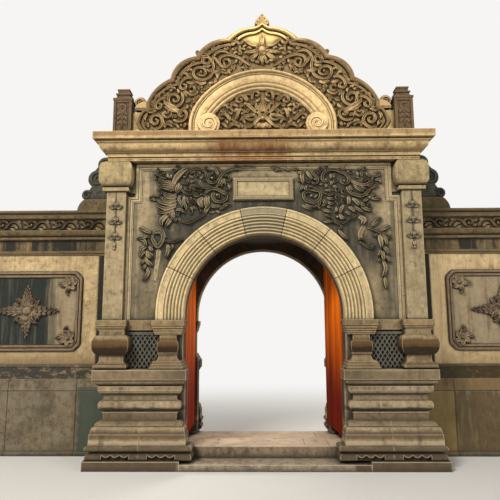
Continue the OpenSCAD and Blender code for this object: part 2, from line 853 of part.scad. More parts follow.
// From below: fillet, plain fascia, roll and cyma, the frieze's ground, and the coping's own mouldings
module wing_coping(s) {
    color(grey) wing_course(s, concat(
        raise(concat(
            [[12, 0], [12, 20], [24, 24], [24, 48], [14, 52], [14, 189], [24, 189]],
            bead(54, 192, 240),
            [[34, 242], [34, 250]],
            cavetto([38, 250], [66, 312], 5),
            [[68, 326], [44, 326], [44, 462], [62, 464], [62, 472]],
            cavetto([64, 472], [86, 496], 4),
            [[86, 526], [80, 530], [80, 536]]), field_top_z),
        bead(100, wing_z - 56, wing_z)));
}
module left_wing_coping() { wing_coping(-1); }
module right_wing_coping() { wing_coping(1); }

shoulder_h = 205;
module shoulder_blocks() {
    z1 = wing_z + shoulder_h;
    color(grey) both_sides() upright(-150, 150)
        polygon(concat([[side, wing_z], [side + 660, wing_z]],
            arc_pts([side + 650, wing_z + 30], [side + 560, z1], -24, 6), [[side + 560, z1], [side, z1]]));
}

// A cloud scroll leans against the pier: a small volute, a large lobe and one behind the cornice's end
shoulder_lobes = [[534, 74, 74], [400, 300, 128], [293, 508, 106]];
module shoulder_scrolls() {
    z = wing_z + shoulder_h;
    t = 110;
    color(dark) both_sides() {
        upright(-t, t) {
            for (c = shoulder_lobes) translate([side + c[0], z + c[1]]) circle(r = c[2]);
            polygon([[side, z], [side + 534, z], [side + 525, z + 120], [side + 470, z + 200],
                [side + 440, z + 420], [side + 330, z + 560], [side + 200, z + 560],
                [side + 190, z + 370], [side + 46, z + wall_z - wing_z - shoulder_h - 6],
                [side, z + wall_z - wing_z - shoulder_h - 6]]);
        }
        for (c = shoulder_lobes, y = [0, 180])
            translate([side + c[0], 0, z + c[1]]) rotate([90, 0, y])
                translate([0, 0, t - 1]) linear_extrude(height = 15)
                    volute(c[2] - 2, 1.5, c[2] * 0.26, 150, -1);
    }
}

// Leaves

pivot_x = reveal + 45;
pivot_y = -front_in + 38;
leaf_l = pivot_x - meeting_gap / 2;
leaf_r = reveal + 15;
leaf_z = sill_h + leaf_lift;
post_r = leaf_t / 2;
pin_r = 16;
bore_r = pin_r + 0.3;

// A closed leaf seen from the front, hung on the left; the pivot is the origin
module leaf_outline() {
    intersection() {
        union() {
            translate([0, leaf_z]) square([leaf_l, arch_z - leaf_z]);
            translate([pivot_x, arch_z]) circle(r = leaf_r);
        }
        translate([0, leaf_z]) square([leaf_l, far]);
    }
}

// A leaf with its length along +Y, as when it is open on the left
module leaf_panel() {
    rotate([0, 0, 90])
        difference() {
            upright(-leaf_t / 2, leaf_t / 2) leaf_outline();
            cylinder(r = post_r + 0.5, h = far);
        }
}

module leaf_post() {
    cylinder(r = post_r, h = arch_z + 20 - leaf_z);
    translate([0, 0, -leaf_z + sill_h - 60]) cylinder(r = pin_r, h = leaf_lift + 61);
    translate([0, 0, arch_z + 20 - leaf_z]) cylinder(r = pin_r, h = 60);
}

module left_leaf() {
    color(timber) translate([-pivot_x, pivot_y, 0]) leaf_panel();
}
module left_leaf_post() {
    color(timber) translate([-pivot_x, pivot_y, leaf_z]) leaf_post();
}
module right_leaf() {
    color(timber) translate([pivot_x, pivot_y, 0]) rotate([0, 0, right_leaf_angle])
        mirror([1, 0, 0]) leaf_panel();
}
module right_leaf_post() {
    color(timber) translate([pivot_x, pivot_y, leaf_z]) leaf_post();
}

// Stones in the floor that carry the lower pins
module pivot_stones() {
    color(dark) both_sides() difference() {
        box(jamb_in + 2, chamber, -front_in, -slab_y + tread + sill_d, 0, sill_h);
        translate([pivot_x, pivot_y, sill_h - 70]) cylinder(r = bore_r, h = 100);
    }
}

// Brackets on the wall that hold the upper pins
module pivot_brackets() {
    z0 = arch_z + 28;
    h = 70;
    nose = 24;
    color(dark) both_sides() difference() {
        union() {
            box(pivot_x, chamber, -front_in, pivot_y + nose - 2, z0, z0 + h);
            box(pivot_x - nose, pivot_x, -front_in, pivot_y, z0, z0 + h);
            translate([pivot_x, pivot_y, z0]) cylinder(r = nose, h = h);
        }
        translate([pivot_x, pivot_y, z0 - 1]) cylinder(r = bore_r, h = h - 10);
    }
}

base_slabs();
lower_step();
sill();
pivot_stones();
passage_floor();
pedestal_feet();
pedestals();
corner_dies();
inner_dies();
lattice_panels();
imposts();
pilasters();
capitals();
left_pier();
right_pier();
jambs();
front_wall_head();
rear_wall_head();
front_arch_ring();
rear_arch_ring();
passage_lintel();
spandrel_frames();
plaques();
entablature();
cornice();
pediment_walls();
pediment_copings();
hood_rings();
corner_posts();
end_blocks();
finials();
left_wing_dado();
right_wing_dado();
left_wing_wall();
right_wing_wall();
panel_frames();
left_wing_coping();
right_wing_coping();
shoulder_blocks();
shoulder_scrolls();
left_leaf();
left_leaf_post();
right_leaf();
right_leaf_post();
pivot_brackets();
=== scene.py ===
# %% [markdown]
# # A carved stone garden gateway
# The gateway is a round-headed arch between moulded piers, with a lobed gable on top and a bay of
# panelled wall on each side. The masonry itself comes ready made, true to size. This script adds
# what a carver, a plasterer and a hundred years of weather added: relief, boards and finishes.
# Everything is in metres, X along the wall, Y through the passage, Z up, and the front is at -Y.

# %% Load the masonry
import math

import bpy
import numpy as np
from mathutils import Matrix, Vector


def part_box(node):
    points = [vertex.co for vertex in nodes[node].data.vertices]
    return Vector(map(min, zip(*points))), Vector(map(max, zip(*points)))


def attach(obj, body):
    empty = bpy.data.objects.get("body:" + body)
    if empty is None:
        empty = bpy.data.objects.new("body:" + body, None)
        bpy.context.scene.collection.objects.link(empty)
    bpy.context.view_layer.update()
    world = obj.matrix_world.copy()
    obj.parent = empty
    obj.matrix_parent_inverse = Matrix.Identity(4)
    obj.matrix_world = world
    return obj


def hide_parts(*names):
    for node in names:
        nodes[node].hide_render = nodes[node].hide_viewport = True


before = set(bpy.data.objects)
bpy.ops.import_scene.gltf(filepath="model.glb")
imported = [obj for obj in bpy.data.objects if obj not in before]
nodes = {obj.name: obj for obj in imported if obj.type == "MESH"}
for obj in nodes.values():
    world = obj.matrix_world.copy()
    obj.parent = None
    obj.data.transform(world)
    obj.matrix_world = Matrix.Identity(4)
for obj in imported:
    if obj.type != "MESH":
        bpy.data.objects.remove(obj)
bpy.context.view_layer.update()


# %% [markdown]
# ## Lines struck on the wall
# Before anything is carved or painted, a mason strikes a few lines on the real wall: the arch's
# centre, the middle of each panel, the faces that the carving stands on. The faces are read off the
# masonry, so that the relief always sits on its wall. The masonry's file doesn't say where an arch
# or a panel has its centre, or where one moulding of a course ends, so those are written down once.

# %% Faces, centres and courses
wall_face, gable_face, panel_face, pilaster_face, post_face, coping_face = (
    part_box(name)[0].y for name in ("front_wall_head", "pediment_walls", "left_wing_wall", "pilasters",
                                   "corner_posts", "left_wing_coping"))
spring, reveal, arch_stones = 1.74, 0.965, 7
stone_angle = math.pi / arch_stones
panel_x, panel_z = 3.08, 1.79
panel_half_x, panel_half_z = 0.66, 0.45
dado_moulding_z, fascia_z, fascia_half, coping_course_z = 0.93, 2.64, 0.08, 3.06
cornice_slab_z, boss_x, boss_z = 3.885, 1.571, 4.436
pier_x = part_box("right_pier")[1].x
print("carved faces at Y", [round(y, 3) for y in (wall_face, gable_face, panel_face, pilaster_face)])


# %% [markdown]
# ## Where the eye stands
# The picture was taken by a standing person 6.8 m in front of the gate's middle, looking up a
# little so that the gable is in view. The upright lines of the gate therefore lean inwards. Three
# angles fix the view, and a lens as long as the sensor is wide gives the picture's field of view.

# %% Camera
def add(name, data):
    """Links a new object that holds a mesh, a lamp or a camera."""
    made = bpy.data.objects.new(name, data)
    bpy.context.scene.collection.objects.link(made)
    return made


eye = Vector((-0.079, -6.82, 1.6))
pitch, yaw, roll = math.radians(8.531), math.radians(0.838), math.radians(-0.184)
ahead = Vector((-math.sin(yaw) * math.cos(pitch), math.cos(yaw) * math.cos(pitch), math.sin(pitch)))
level = Vector((math.cos(yaw), math.sin(yaw), 0))
above = level.cross(ahead)
right = math.cos(roll) * level + math.sin(roll) * above
up = math.cos(roll) * above - math.sin(roll) * level

camera = add("eye_level_camera", bpy.data.cameras.new("eye_level_camera"))
camera.data.sensor_width = camera.data.lens = 36
camera.matrix_world = Matrix.Translation(eye) @ Matrix((right, up, -ahead)).transposed().to_4x4()
bpy.context.scene.camera = camera
bpy.context.scene.view_settings.view_transform = "Standard"
print("camera at", [round(v, 2) for v in eye], "looking up", round(math.degrees(pitch), 1), "degrees")


# %% [markdown]
# ## Writing finishes as sums
# A finish is a small network of nodes. Wired by hand it soon becomes unreadable, so one class
# wraps an output socket and lets Python's operators add the Math nodes: `1 - mask * 0.5` reads as
# what it does.

# %% A socket that can be added and multiplied
class Wire:
    """One output of a node. Arithmetic on it adds Math nodes to the same network."""

    def __init__(self, network, socket):
        self.network, self.socket = network, socket

    def math(self, operation, other=None, reflected=False):
        """A Math node on this wire and another value; reflected puts the other value first."""
        values = [self] if other is None else [other, self] if reflected else [self, other]
        return self.network.node("Math", {"operation": operation}, dict(enumerate(values)))

    def __add__(self, other):
        return self.math("ADD", other)

    def __sub__(self, other):
        return self.math("SUBTRACT", other)

    def __rsub__(self, other):
        return self.math("SUBTRACT", other, reflected=True)

    def __mul__(self, other):
        return self.math("MULTIPLY", other)

    def __truediv__(self, other):
        return self.math("DIVIDE", other)

    def __rtruediv__(self, other):
        return self.math("DIVIDE", other, reflected=True)

    def __abs__(self):
        return self.math("ABSOLUTE")

    __radd__, __rmul__ = __add__, __mul__

    def most(self, other):
        return self.math("MAXIMUM", other)

    def least(self, other):
        return self.math("MINIMUM", other)

    def rise(self, low, high):
        """0 below low, 1 above high, and a smooth step between; low may be the larger."""
        return self.network.node("MapRange", {"interpolation_type": "SMOOTHSTEP"},
                                 {"Value": self, "From Min": low, "From Max": high})

    def near(self, middle, out, within):
        """1 within a distance of a middle value, fading to 0 farther out."""
        return abs(self - middle).rise(out, within)


print("sums ready")


# %% [markdown]
# ## One way to make a node
# Every other node is made by one method, which takes its kind, its settings and what goes into its
# sockets. The studio's background is such a network too, so the class knows nothing of materials
# yet. Blender starts each node's name with ShaderNode, which would only lengthen the lines here.

# %% A network of nodes
class Network:
    """A tree of nodes under construction."""

    def __init__(self, tree):
        self.tree = tree

    def plug(self, socket, value):
        """Links a wire to a socket, or sets the socket to a constant."""
        if isinstance(value, Wire):
            self.tree.links.new(value.socket, socket)
        else:
            socket.default_value = value

    def node(self, kind, settings=None, inputs=None, output=0):
        """Makes a node and gives one of its outputs; kind is its type without ShaderNode."""
        made = self.tree.nodes.new("ShaderNode" + kind)
        for name, value in (settings or {}).items():
            setattr(made, name, value)
        for name, value in (inputs or {}).items():
            self.plug(made.inputs[name], value)
        return Wire(self, made.outputs[output])

    def length(self, **sides):
        """How long a line is whose sides along X, Y and Z are given."""
        corner = self.node("CombineXYZ", None, sides)
        return self.node("VectorMath", {"operation": "LENGTH"}, {0: corner}, "Value")

    def seen(self):
        """1 for what is looked at, straight or by reflection, 0 for light on its way to the gate."""
        straight, mirrored, through = (self.node("LightPath", output=f"Is {kind} Ray")
                                       for kind in ("Camera", "Glossy", "Transmission"))
        return straight.most(mirrored).most(through)


print("networks ready")


# %% [markdown]
# ## A finish
# On a real wall a stain depends on where it is: how high, how deep in a corner, which way up, and
# so does the painted shade here. So a finish gives the place on the gate, the slope of the surface and
# a way to feel for hollows, next to the usual noise. Streaks are the same noise drawn out upright.

# %% A finish: one material and its nodes
class Finish(Network):
    """One material, read in the gate's own metres."""

    def __init__(self, name):
        self.material = bpy.data.materials.new(name)
        self.material.use_nodes = True
        super().__init__(self.material.node_tree)
        self.shader = self.tree.nodes["Principled BSDF"]
        self.place = self.node("TexCoord", output="Object")
        self.x, self.y, self.z = self.axes(self.place)
        self.upward = self.axes(self.node("NewGeometry", output="Normal"))[2]
        print("finish:", name)

    def axes(self, wire):
        """The X, Y and Z of a place or a direction."""
        return [self.node("SeparateXYZ", None, {0: wire}, axis) for axis in "XYZ"]

    def noise(self, scale, detail=4, rough=0.55, stretch=(1, 1, 1), shift=0.0):
        """Clouds; a larger scale makes them smaller, and shift moves to another part of them."""
        where = self.node("Mapping", None,
                          {"Vector": self.place, "Scale": stretch, "Location": (shift, 0, shift)})
        return self.node("TexNoise", None,
                         {"Vector": where, "Scale": scale, "Detail": detail, "Roughness": rough})

    def streaks(self, scale, squeeze, detail=4, rough=0.6, shift=0.0):
        """Noise drawn out upright: the smaller squeeze is, the longer the streaks."""
        return self.noise(scale, detail, rough, (1, 1, squeeze), shift)

    def mix(self, share, first, second):
        """Blends two colours; a colour is a tuple or a wire."""
        first, second = ((*c, 1) if isinstance(c, tuple) else c for c in (first, second))
        return self.node("Mix", {"data_type": "RGBA"}, {0: share, 6: first, 7: second}, 2)

    def shade(self, colour, amount):
        """Multiplies a colour by a number or wire."""
        return self.node("VectorMath", {"operation": "SCALE"}, {0: colour, "Scale": amount})

    def hollow(self, reach):
        """1 deep in a corner or hollow, 0 in the open, found by feeling around for that distance."""
        return 1 - self.node("AmbientOcclusion", {"samples": 6}, {"Distance": reach}, "AO")

    def close(self, colour, roughness, height, depth=0.004, soften=0.006, shine=0.2):
        """Plugs colour, roughness and relief into the shader; arrises are softened by a bevel."""
        worn = self.node("Bevel", {"samples": 4}, {"Radius": soften})
        bump = self.node("Bump", None, {"Height": height, "Distance": depth, "Strength": 1.0, "Normal": worn})
        for socket, value in (("Base Color", colour), ("Roughness", roughness), ("Normal", bump),
                              ("Specular IOR Level", shine)):
            self.plug(self.shader.inputs[socket], value)
        return self.material


print("finishes ready")


# %% [markdown]
# ## Old limestone
# One warm limestone runs through the whole gate. Fresh faces are pale; drifts of ochre and grey
# come from the bed it was cut from. Soot and algae settle where rain doesn't wash: in hollows,
# under ledges and low down, and the darkening of hollows and undersides is painted shade as well.
# Rain draws dark runs below the ledges and keeps the arrises pale, and their pale rim is partly a
# painted highlight. So the recipe is layered the same way: bed, stains, runs, arrises, dirt and
# painted shade, joints.

# %% Layers of the limestone
def lit(colour, factor):
    """A colour made lighter or darker by a factor."""
    return tuple(min(1.0, c * factor) for c in colour)


def bed(f, light, dark):
    """The stone's own colour: broad drifts, smaller patches, mottling and fine grain."""
    broad = f.noise(1.1, 3, 0.5)
    patches = f.noise(5.0, 7, 0.68, shift=3.1)
    colour = f.mix((broad * 0.6 + patches * 0.9).rise(0.5, 0.98), dark, light)
    mottle = f.noise(15, 6, 0.74, shift=1.7)
    colour = f.mix(mottle.rise(0.50, 0.66) * 0.65, colour, lit(dark, 0.38))
    colour = f.mix(mottle.rise(0.46, 0.32) * 0.55, colour, lit(light, 1.4))
    grain = f.noise(80, 3, 0.75) * 0.8 + f.streaks(26, 0.2, 5, 0.7, 8.0) * 0.8
    return f.shade(colour, 0.2 + grain), patches


def rain_runs(f, colour, crust_and_shade, amount):
    """Dark vertical streaks, thicker in some stretches of the wall than in others."""
    narrow = f.streaks(9.0, 0.07)
    wide = f.streaks(1.7, 0.5, 2, 0.5, 5.0)
    return f.mix(narrow.rise(0.5, 0.72) * wide.rise(0.38, 0.62) * amount, colour, crust_and_shade)


def rubbed_and_highlit_arrises(f, colour, pale, amount):
    """Rain-washed, rubbed edges with a painted highlight on them, found where a bevel would turn the surface.
    """
    turned = f.node("Bevel", {"samples": 4}, {"Radius": 0.016})
    flat = f.node("NewGeometry", output="Normal")
    same = f.node("VectorMath", {"operation": "DOT_PRODUCT"}, {0: turned, 1: flat}, "Value")
    # Painted highlight as well as wear: the edges are lifted far above the stone's own pale.
    return f.mix((1 - same).rise(0.008, 0.09) * amount, colour, pale)


def soot_and_shade(f, colour, crust_and_shade, patches, reach, amount, under, fine, fine_reach):
    """Darkens hollows, fine quirks and undersides, broken up by the patches: sooty dirt and painted shade at
    once.
    """
    # Painted shade as well as dirt: hollows, creases and undersides are darkened where shade falls.
    deep = (f.hollow(reach) * 1.25 + patches * 0.35 - 0.22).rise(0.08, 0.66)
    crease_dirt_and_shade = (f.hollow(fine_reach) + patches * 0.2 - 0.1).rise(0.12, 0.40) * fine
    below = (0 - f.upward).rise(0.15, 0.9) * under
    return f.mix((deep * amount).most(crease_dirt_and_shade).most(below).least(0.96), colour, crust_and_shade)


# %% The limestone recipe
def limestone(name, light, dark, crust_and_shade, *, reach=0.10, grime_and_shade=1.0, under=0.5, runs=0.4, pale=0.6,
              joints=None, stain=(), fine=1.0, fine_reach=0.026):
    """A finish of the gate's limestone. stain is any number of functions of the finish and its
    colour, joints a function of the finish; the numbers say how far and how strongly dirt and painted
    shade settle."""
    f = Finish(name)
    colour, patches = bed(f, light, dark)
    for stained in stain:
        colour = stained(f, colour)
    colour = rain_runs(f, colour, crust_and_shade, runs)
    colour = rubbed_and_highlit_arrises(f, colour, lit(light, 1.65), pale)
    colour = soot_and_shade(f, colour, crust_and_shade, patches, reach, grime_and_shade, under, fine, fine_reach)
    pits = f.node("TexVoronoi", None, {"Vector": f.place, "Scale": 60}).rise(0.05, 0.35)
    height = f.noise(35, 6, 0.7) * 0.5 + patches * 0.6 + pits * 0.25
    if joints:
        joint = joints(f)
        colour = f.mix(joint * 0.8, colour, lit(crust_and_shade, 0.6))
        height = height - joint * 1.6
    return f.close(colour, 0.95 - patches * 0.25, height)


print("limestone recipe ready")


# %% [markdown]
# ## The base and the passage
# Splashed stone near the ground is darker than stone at eye height, and each course of a pedestal
# has its own tone; the band over the cap is painted shade. Each stain is a small function that
# reads the place on the gate: where water clings, which faces look up, where the passage is painted
# in shade. A stain is easier to judge alone than in one long network.

# %% Stains of the base and the passage
# Dark colours for dirt that double as painted shade in hollows and under ledges.
soot_and_shade_brown = (0.040, 0.030, 0.020)
soot_and_shade_grey = (0.036, 0.036, 0.031)
# The colour of the painted shade inside the passage.
passage_shade_brown = (0.024, 0.012, 0.008)


def courses(*bands):
    """Bands of tone that follow the courses: rows of middle height, half height, strength and colour."""
    def stained(f, colour):
        wander = f.noise(6.0, 5, 0.65, stretch=(1, 1, 2)) * 0.06 - 0.03
        for middle, half, share, tone in bands:
            colour = f.mix(abs(f.z - middle + wander).rise(half, half * 0.3) * share, colour, tone)
        return colour
    return stained


def passage_shade(f, colour):
    """Painted shade: the passage, which daylight doesn't reach, is darkened to a near-black brown."""
    inside = abs(f.y).rise(0.70, 0.63) * abs(f.x).rise(1.335, 1.325) * f.z.rise(0.30, 0.60)
    # Painted shade on every surface inside the passage.
    return f.mix(inside * (0.82 + f.noise(4.0, 5, 0.6) * 0.25).least(1.0), colour, passage_shade_brown)


def pale_tread(f, colour):
    """The sill's upward faces, its tread, are made paler in patches; its riser keeps the darker colour."""
    tread = f.upward.rise(0.6, 0.9) * (f.noise(3.5, 5, 0.6) * 1.4).least(1.0)
    return f.mix(tread * 0.85, colour, (0.74, 0.58, 0.41))


def kerb_dirt(f, colour):
    """The slabs under the pedestals are splashed brown; the steps between them are swept."""
    return f.mix(abs(f.x).rise(0.97, 1.01) * 0.88, colour, (0.074, 0.050, 0.028))


def inner_corner(f, colour):
    """The pedestals' inner ends, next to the passage, are smoked and greasy."""
    inner = (abs(f.x) + f.noise(4.0, 4) * 0.2).rise(1.36, 1.10) * f.z.rise(0.80, 0.90)
    return f.mix(inner * 0.4, colour, (0.045, 0.034, 0.020))


# The dark band over the pedestals' cap, at 1.03 m, is painted shade.
pedestal_courses = courses(
    (0.150, 0.08, 0.88, (0.040, 0.026, 0.014)), (0.235, 0.04, 0.85, (0.050, 0.034, 0.020)),
    (0.295, 0.03, 0.55, (0.46, 0.36, 0.24)), (0.378, 0.07, 0.85, (0.100, 0.068, 0.038)),
    (0.53, 0.09, 0.66, (0.105, 0.074, 0.044)), (0.635, 0.04, 0.95, (0.040, 0.029, 0.017)),
    (0.82, 0.05, 0.35, (0.42, 0.33, 0.22)), (1.03, 0.09, 0.60, (0.12, 0.088, 0.050)))
bulge_courses = courses(
    (1.395, 0.07, 0.90, (0.084, 0.046, 0.013)), (1.310, 0.08, 1.0, (0.028, 0.015, 0.006)),
    (1.14, 0.05, 0.5, (0.08, 0.06, 0.035)))

# %% Stone of the base and the passage
step_stone = limestone("step_stone", (0.37, 0.315, 0.225), (0.19, 0.155, 0.11), soot_and_shade_brown,
                       stain=(kerb_dirt,), pale=0.9)
sill_stone = limestone("sill_stone", (0.27, 0.205, 0.135), (0.12, 0.09, 0.06), soot_and_shade_brown,
                       stain=(pale_tread,), runs=0.5, pale=0.9)
carved_stone = limestone("carved_stone", (0.335, 0.26, 0.16), (0.185, 0.14, 0.083), soot_and_shade_brown,
                         stain=(pedestal_courses, inner_corner, passage_shade),
                         runs=0.65, under=0.95, grime_and_shade=1.2, pale=0.8)
die_stone = limestone("die_stone", (0.30, 0.225, 0.125), (0.155, 0.11, 0.058), soot_and_shade_brown,
                      stain=(bulge_courses, passage_shade), runs=0.6, under=0.9, pale=0.7)
# The lattice's very dark colours are partly painted shade on its deeply sunk field.
lattice_stone = limestone("lattice_stone", (0.13, 0.12, 0.085), (0.055, 0.055, 0.044),
                          (0.018, 0.022, 0.025), reach=0.035, grime_and_shade=1.5, pale=0.8)


# %% [markdown]
# ## The wall round the arch
# Blue-grey algae hugs the arch ring and the hanging carving, the field beyond stays pale, and the
# arch itself is the brightest stone of the gate, each of its seven stones a little different. The
# joints aren't cut into the shape: they're lines through the arch's centre, raked out by the relief
# and darkened, which follows any moulding that crosses them.

# %% Stains of the walls and the arch
def spandrel_wash(f, colour):
    """Algae near the ring, in the upper corners and behind the hanging drops, and painted shade in the strip
    between frame and pilaster; pale stone beyond.
    """
    ring = f.length(X=f.x, Z=f.z - spring)
    cloud = f.noise(2.4, 6, 0.62)
    blush = f.noise(1.4, 4, 0.6, shift=7.0).rise(0.5, 0.7) * 0.4
    colour = f.mix(blush, colour, (0.48, 0.35, 0.19))
    beside_ring = (ring + cloud * 0.5).rise(2.02, 1.74) * f.z.rise(1.9, 2.5)
    corner = (abs(abs(f.x) - 0.95) + cloud * 0.5).rise(0.85, 0.45) * (f.z + cloud * 0.3).rise(2.75, 3.0)
    drop = (abs(abs(f.x) - 1.47) + cloud * 0.2).rise(0.28, 0.14) * f.z.near(2.1, 0.60, 0.35)
    streak = f.streaks(8.0, 0.15, 5, 0.65, 5.0).rise(0.36, 0.60) * 0.3 + 0.7
    damp = (beside_ring * 0.98).most(corner * 0.96).most(drop * 0.8) * streak
    colour = f.mix(damp, colour, (0.030, 0.029, 0.022))
    # Painted shade in the narrow strip of wall between the spandrel frame and the pilaster.
    edge = abs(f.x).near(1.61, 0.055, 0.035) * streak * 0.6
    return f.mix(edge * f.z.rise(3.5, 3.1), colour, (0.060, 0.058, 0.044))


def relief_wash(f, colour):
    """The same algae and painted shade, thinner on the raised carving."""
    return f.mix(0.42, colour, spandrel_wash(f, colour))


def plaque_border(f, colour):
    """The raised border of the plaque is dirtier than its field."""
    low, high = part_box("plaques")
    middle, half = (low + high) / 2, (high - low) / 2
    border = f.x.near(middle.x, half.x - 0.062, half.x - 0.056).most(
        f.z.near(middle.z, half.z - 0.062, half.z - 0.056))
    return f.mix(border * 0.6, colour, (0.12, 0.092, 0.050))


def ring_joints(f):
    """Joints on lines through the arch's centre; three of them and their mirrors part seven stones."""
    found = None
    for k in (1, 2, 3):
        off = abs(f.x) * math.sin(k * stone_angle) - (f.z - spring) * math.cos(k * stone_angle)
        line = abs(off).rise(0.0062, 0.0030)
        found = line if found is None else found.most(line)
    return found * f.z.rise(spring, spring + 0.02)


def keystone_tint(f, colour):
    """Each stone differs a little, the top one is greyer, and the lowest ones are streaked brown."""
    stone = ((f.z - spring).math("ARCTAN2", f.x) / stone_angle).math("FLOOR")
    colour = f.shade(colour, 0.95 + (stone * 2.39).math("SINE") * 0.09)
    top = (abs(f.x) - (f.z - spring) * 0.228).rise(0.004, -0.004) * f.z.rise(2.4, 2.5)
    colour = f.mix(top * 0.85, colour, (0.20, 0.18, 0.125))
    low = (f.z + f.noise(2.0, 4) * 0.4).rise(2.4, 1.7) * f.streaks(9.0, 0.12).rise(0.42, 0.6)
    return f.mix(low * (0.55 + f.x.rise(0.0, 0.5) * 0.4), colour, (0.150, 0.112, 0.078))


# %% Stone of the walls and the arch
impost_stone = limestone("impost_stone", (0.275, 0.20, 0.105), (0.145, 0.105, 0.058), soot_and_shade_brown,
                         stain=(passage_shade,), runs=0.5, under=0.9, pale=0.8)
pale_stone = limestone("pale_stone", (0.38, 0.295, 0.15), (0.24, 0.185, 0.10), soot_and_shade_brown,
                       runs=0.55, under=0.75)
plaque_stone = limestone("plaque_stone", (0.42, 0.34, 0.195), (0.33, 0.26, 0.145), soot_and_shade_brown,
                         stain=(plaque_border,), runs=0.25)
golden_stone = limestone("golden_stone", (0.56, 0.41, 0.19), (0.36, 0.25, 0.11), soot_and_shade_brown,
                         runs=0.25, under=0.6)
ashlar = limestone("ashlar", (0.39, 0.31, 0.18), (0.26, 0.205, 0.12), soot_and_shade_grey,
                   stain=(spandrel_wash, passage_shade), runs=0.5, reach=0.13, grime_and_shade=1.45, fine_reach=0.05)
garland_stone = limestone("garland_stone", (0.38, 0.30, 0.172), (0.215, 0.168, 0.096),
                          (0.020, 0.019, 0.014), stain=(relief_wash,),
                          runs=0.15, reach=0.04, grime_and_shade=0.95, pale=0.95, under=0.6, fine=0.7)
shaft_stone = limestone("shaft_stone", (0.345, 0.27, 0.155), (0.23, 0.18, 0.105), soot_and_shade_grey,
                        runs=0.5, reach=0.05)
arch_stone = limestone("arch_stone", (0.62, 0.485, 0.265), (0.44, 0.34, 0.185), (0.075, 0.052, 0.028),
                       stain=(keystone_tint, passage_shade), joints=ring_joints,
                       runs=0.2, reach=0.04, grime_and_shade=0.6, pale=0.7, fine=0.7)
fillet_stone = limestone("fillet_stone", (0.43, 0.34, 0.20), (0.31, 0.245, 0.145), soot_and_shade_grey,
                         reach=0.03, grime_and_shade=0.5, fine=0.5)
# The core's dark colour is partly painted shade, standing for the shaded sides of the piers.
core = limestone("core", (0.20, 0.16, 0.11), (0.12, 0.10, 0.07), soot_and_shade_brown, stain=(passage_shade,))
mortar = limestone("mortar", (0.060, 0.042, 0.026), (0.035, 0.026, 0.018), soot_and_shade_brown)


# %% [markdown]
# ## The crown
# The top of the gable is painted golden, painted sunlight, and its coping is black on the side away
# from the wind. Iron cramps inside the cornice have rusted and bled down its middle. Those are marks
# of this one gate, so they're placed one by one, each with a noise to break its edge.

# %% Stains of the crown
def rust(f, colour):
    """Iron from the cramps has bled down the middle of the cornice's lower mouldings."""
    below_slab = cornice_slab_z - 0.025
    band = (abs(f.x + 0.16 + f.noise(1.5, 2) * 0.2 - 0.1).rise(0.62, 0.34)
            * f.z.rise(cornice_slab_z, below_slab))
    thread = f.streaks(9.0, 0.04, shift=2.0).rise(0.36, 0.58)
    return f.mix(band * (0.5 + thread * 0.45), colour, (0.17, 0.062, 0.014))


def dark_bed(f, colour):
    """Water clings under the slab and at the foot of the frieze, and blackens them in drips."""
    slab = f.z.rise(cornice_slab_z - 0.005, cornice_slab_z + 0.005) * (0.48 + f.x.rise(-0.4, -1.2) * 0.22)
    colour = f.mix(slab, colour, (0.20, 0.125, 0.060))
    drip = f.streaks(11.0, 0.10, 4, 0.65, 6.0).rise(0.40, 0.62)
    low = f.z.rise(3.70, 3.62) * (0.35 + drip * 0.65)
    return f.mix(low * 0.8, colour, (0.055, 0.042, 0.026))


def sunlit_top(f, colour):
    """Painted sunlight makes the very top of the gable golden."""
    high = (f.z + f.noise(3, 4) * 0.16 - abs(f.x) * 0.12).rise(5.24, 5.40)
    return f.mix(high * 0.97, colour, (1.0, 0.74, 0.29))


def sooty_left(f, colour):
    """The coping's left side, away from the wind, is blacker."""
    return f.mix(f.x.rise(-0.2, -0.9) * f.z.rise(5.3, 5.1) * 0.35, colour, (0.030, 0.019, 0.010))


def disc_gold(f, colour):
    """The two bosses at the gable's feet are of another, golden stone."""
    disc = abs(f.x).near(boss_x, 0.090, 0.074) * f.z.near(boss_z, 0.090, 0.074)
    return f.mix(disc * 0.8, colour, (0.50, 0.36, 0.17))


def pale_flanks(f, colour):
    """Rain off the gable keeps the hood's flanks paler than its crown."""
    return f.shade(colour, 0.88 + abs(f.x).rise(0.25, 0.75) * 0.36)


# %% Stone of the crown
cornice_stone = limestone("cornice_stone", (0.52, 0.37, 0.18), (0.33, 0.23, 0.115), soot_and_shade_brown,
                          stain=(dark_bed, rust),
                          runs=0.5, under=0.35, reach=0.05, grime_and_shade=0.8, pale=0.8, fine=0.85)
gable_stone = limestone("gable_stone", (0.36, 0.245, 0.115), (0.21, 0.145, 0.070), (0.032, 0.022, 0.012),
                        stain=(sunlit_top,), grime_and_shade=1.2, runs=0.3, pale=0.9, fine_reach=0.05)
gable_relief = limestone("gable_relief", (0.62, 0.43, 0.21), (0.41, 0.285, 0.135), (0.045, 0.030, 0.015),
                         stain=(sunlit_top,), reach=0.04, grime_and_shade=0.65, runs=0.2, pale=0.95, fine=0.5)
coping_stone = limestone("coping_stone", (0.27, 0.175, 0.078), (0.12, 0.080, 0.040), (0.025, 0.020, 0.014),
                         stain=(sooty_left, sunlit_top, disc_gold),
                         reach=0.05, grime_and_shade=1.2, pale=0.8, runs=0.5)
hood_stone = limestone("hood_stone", (0.66, 0.48, 0.24), (0.52, 0.375, 0.185), (0.12, 0.072, 0.030),
                       stain=(pale_flanks,),
                       runs=0.15, reach=0.04, grime_and_shade=0.5, pale=0.4, under=0.2, fine=0.75)
post_stone = limestone("post_stone", (0.15, 0.098, 0.048), (0.07, 0.048, 0.026), (0.022, 0.022, 0.018),
                       reach=0.06, grime_and_shade=1.3, pale=0.9, runs=0.6)


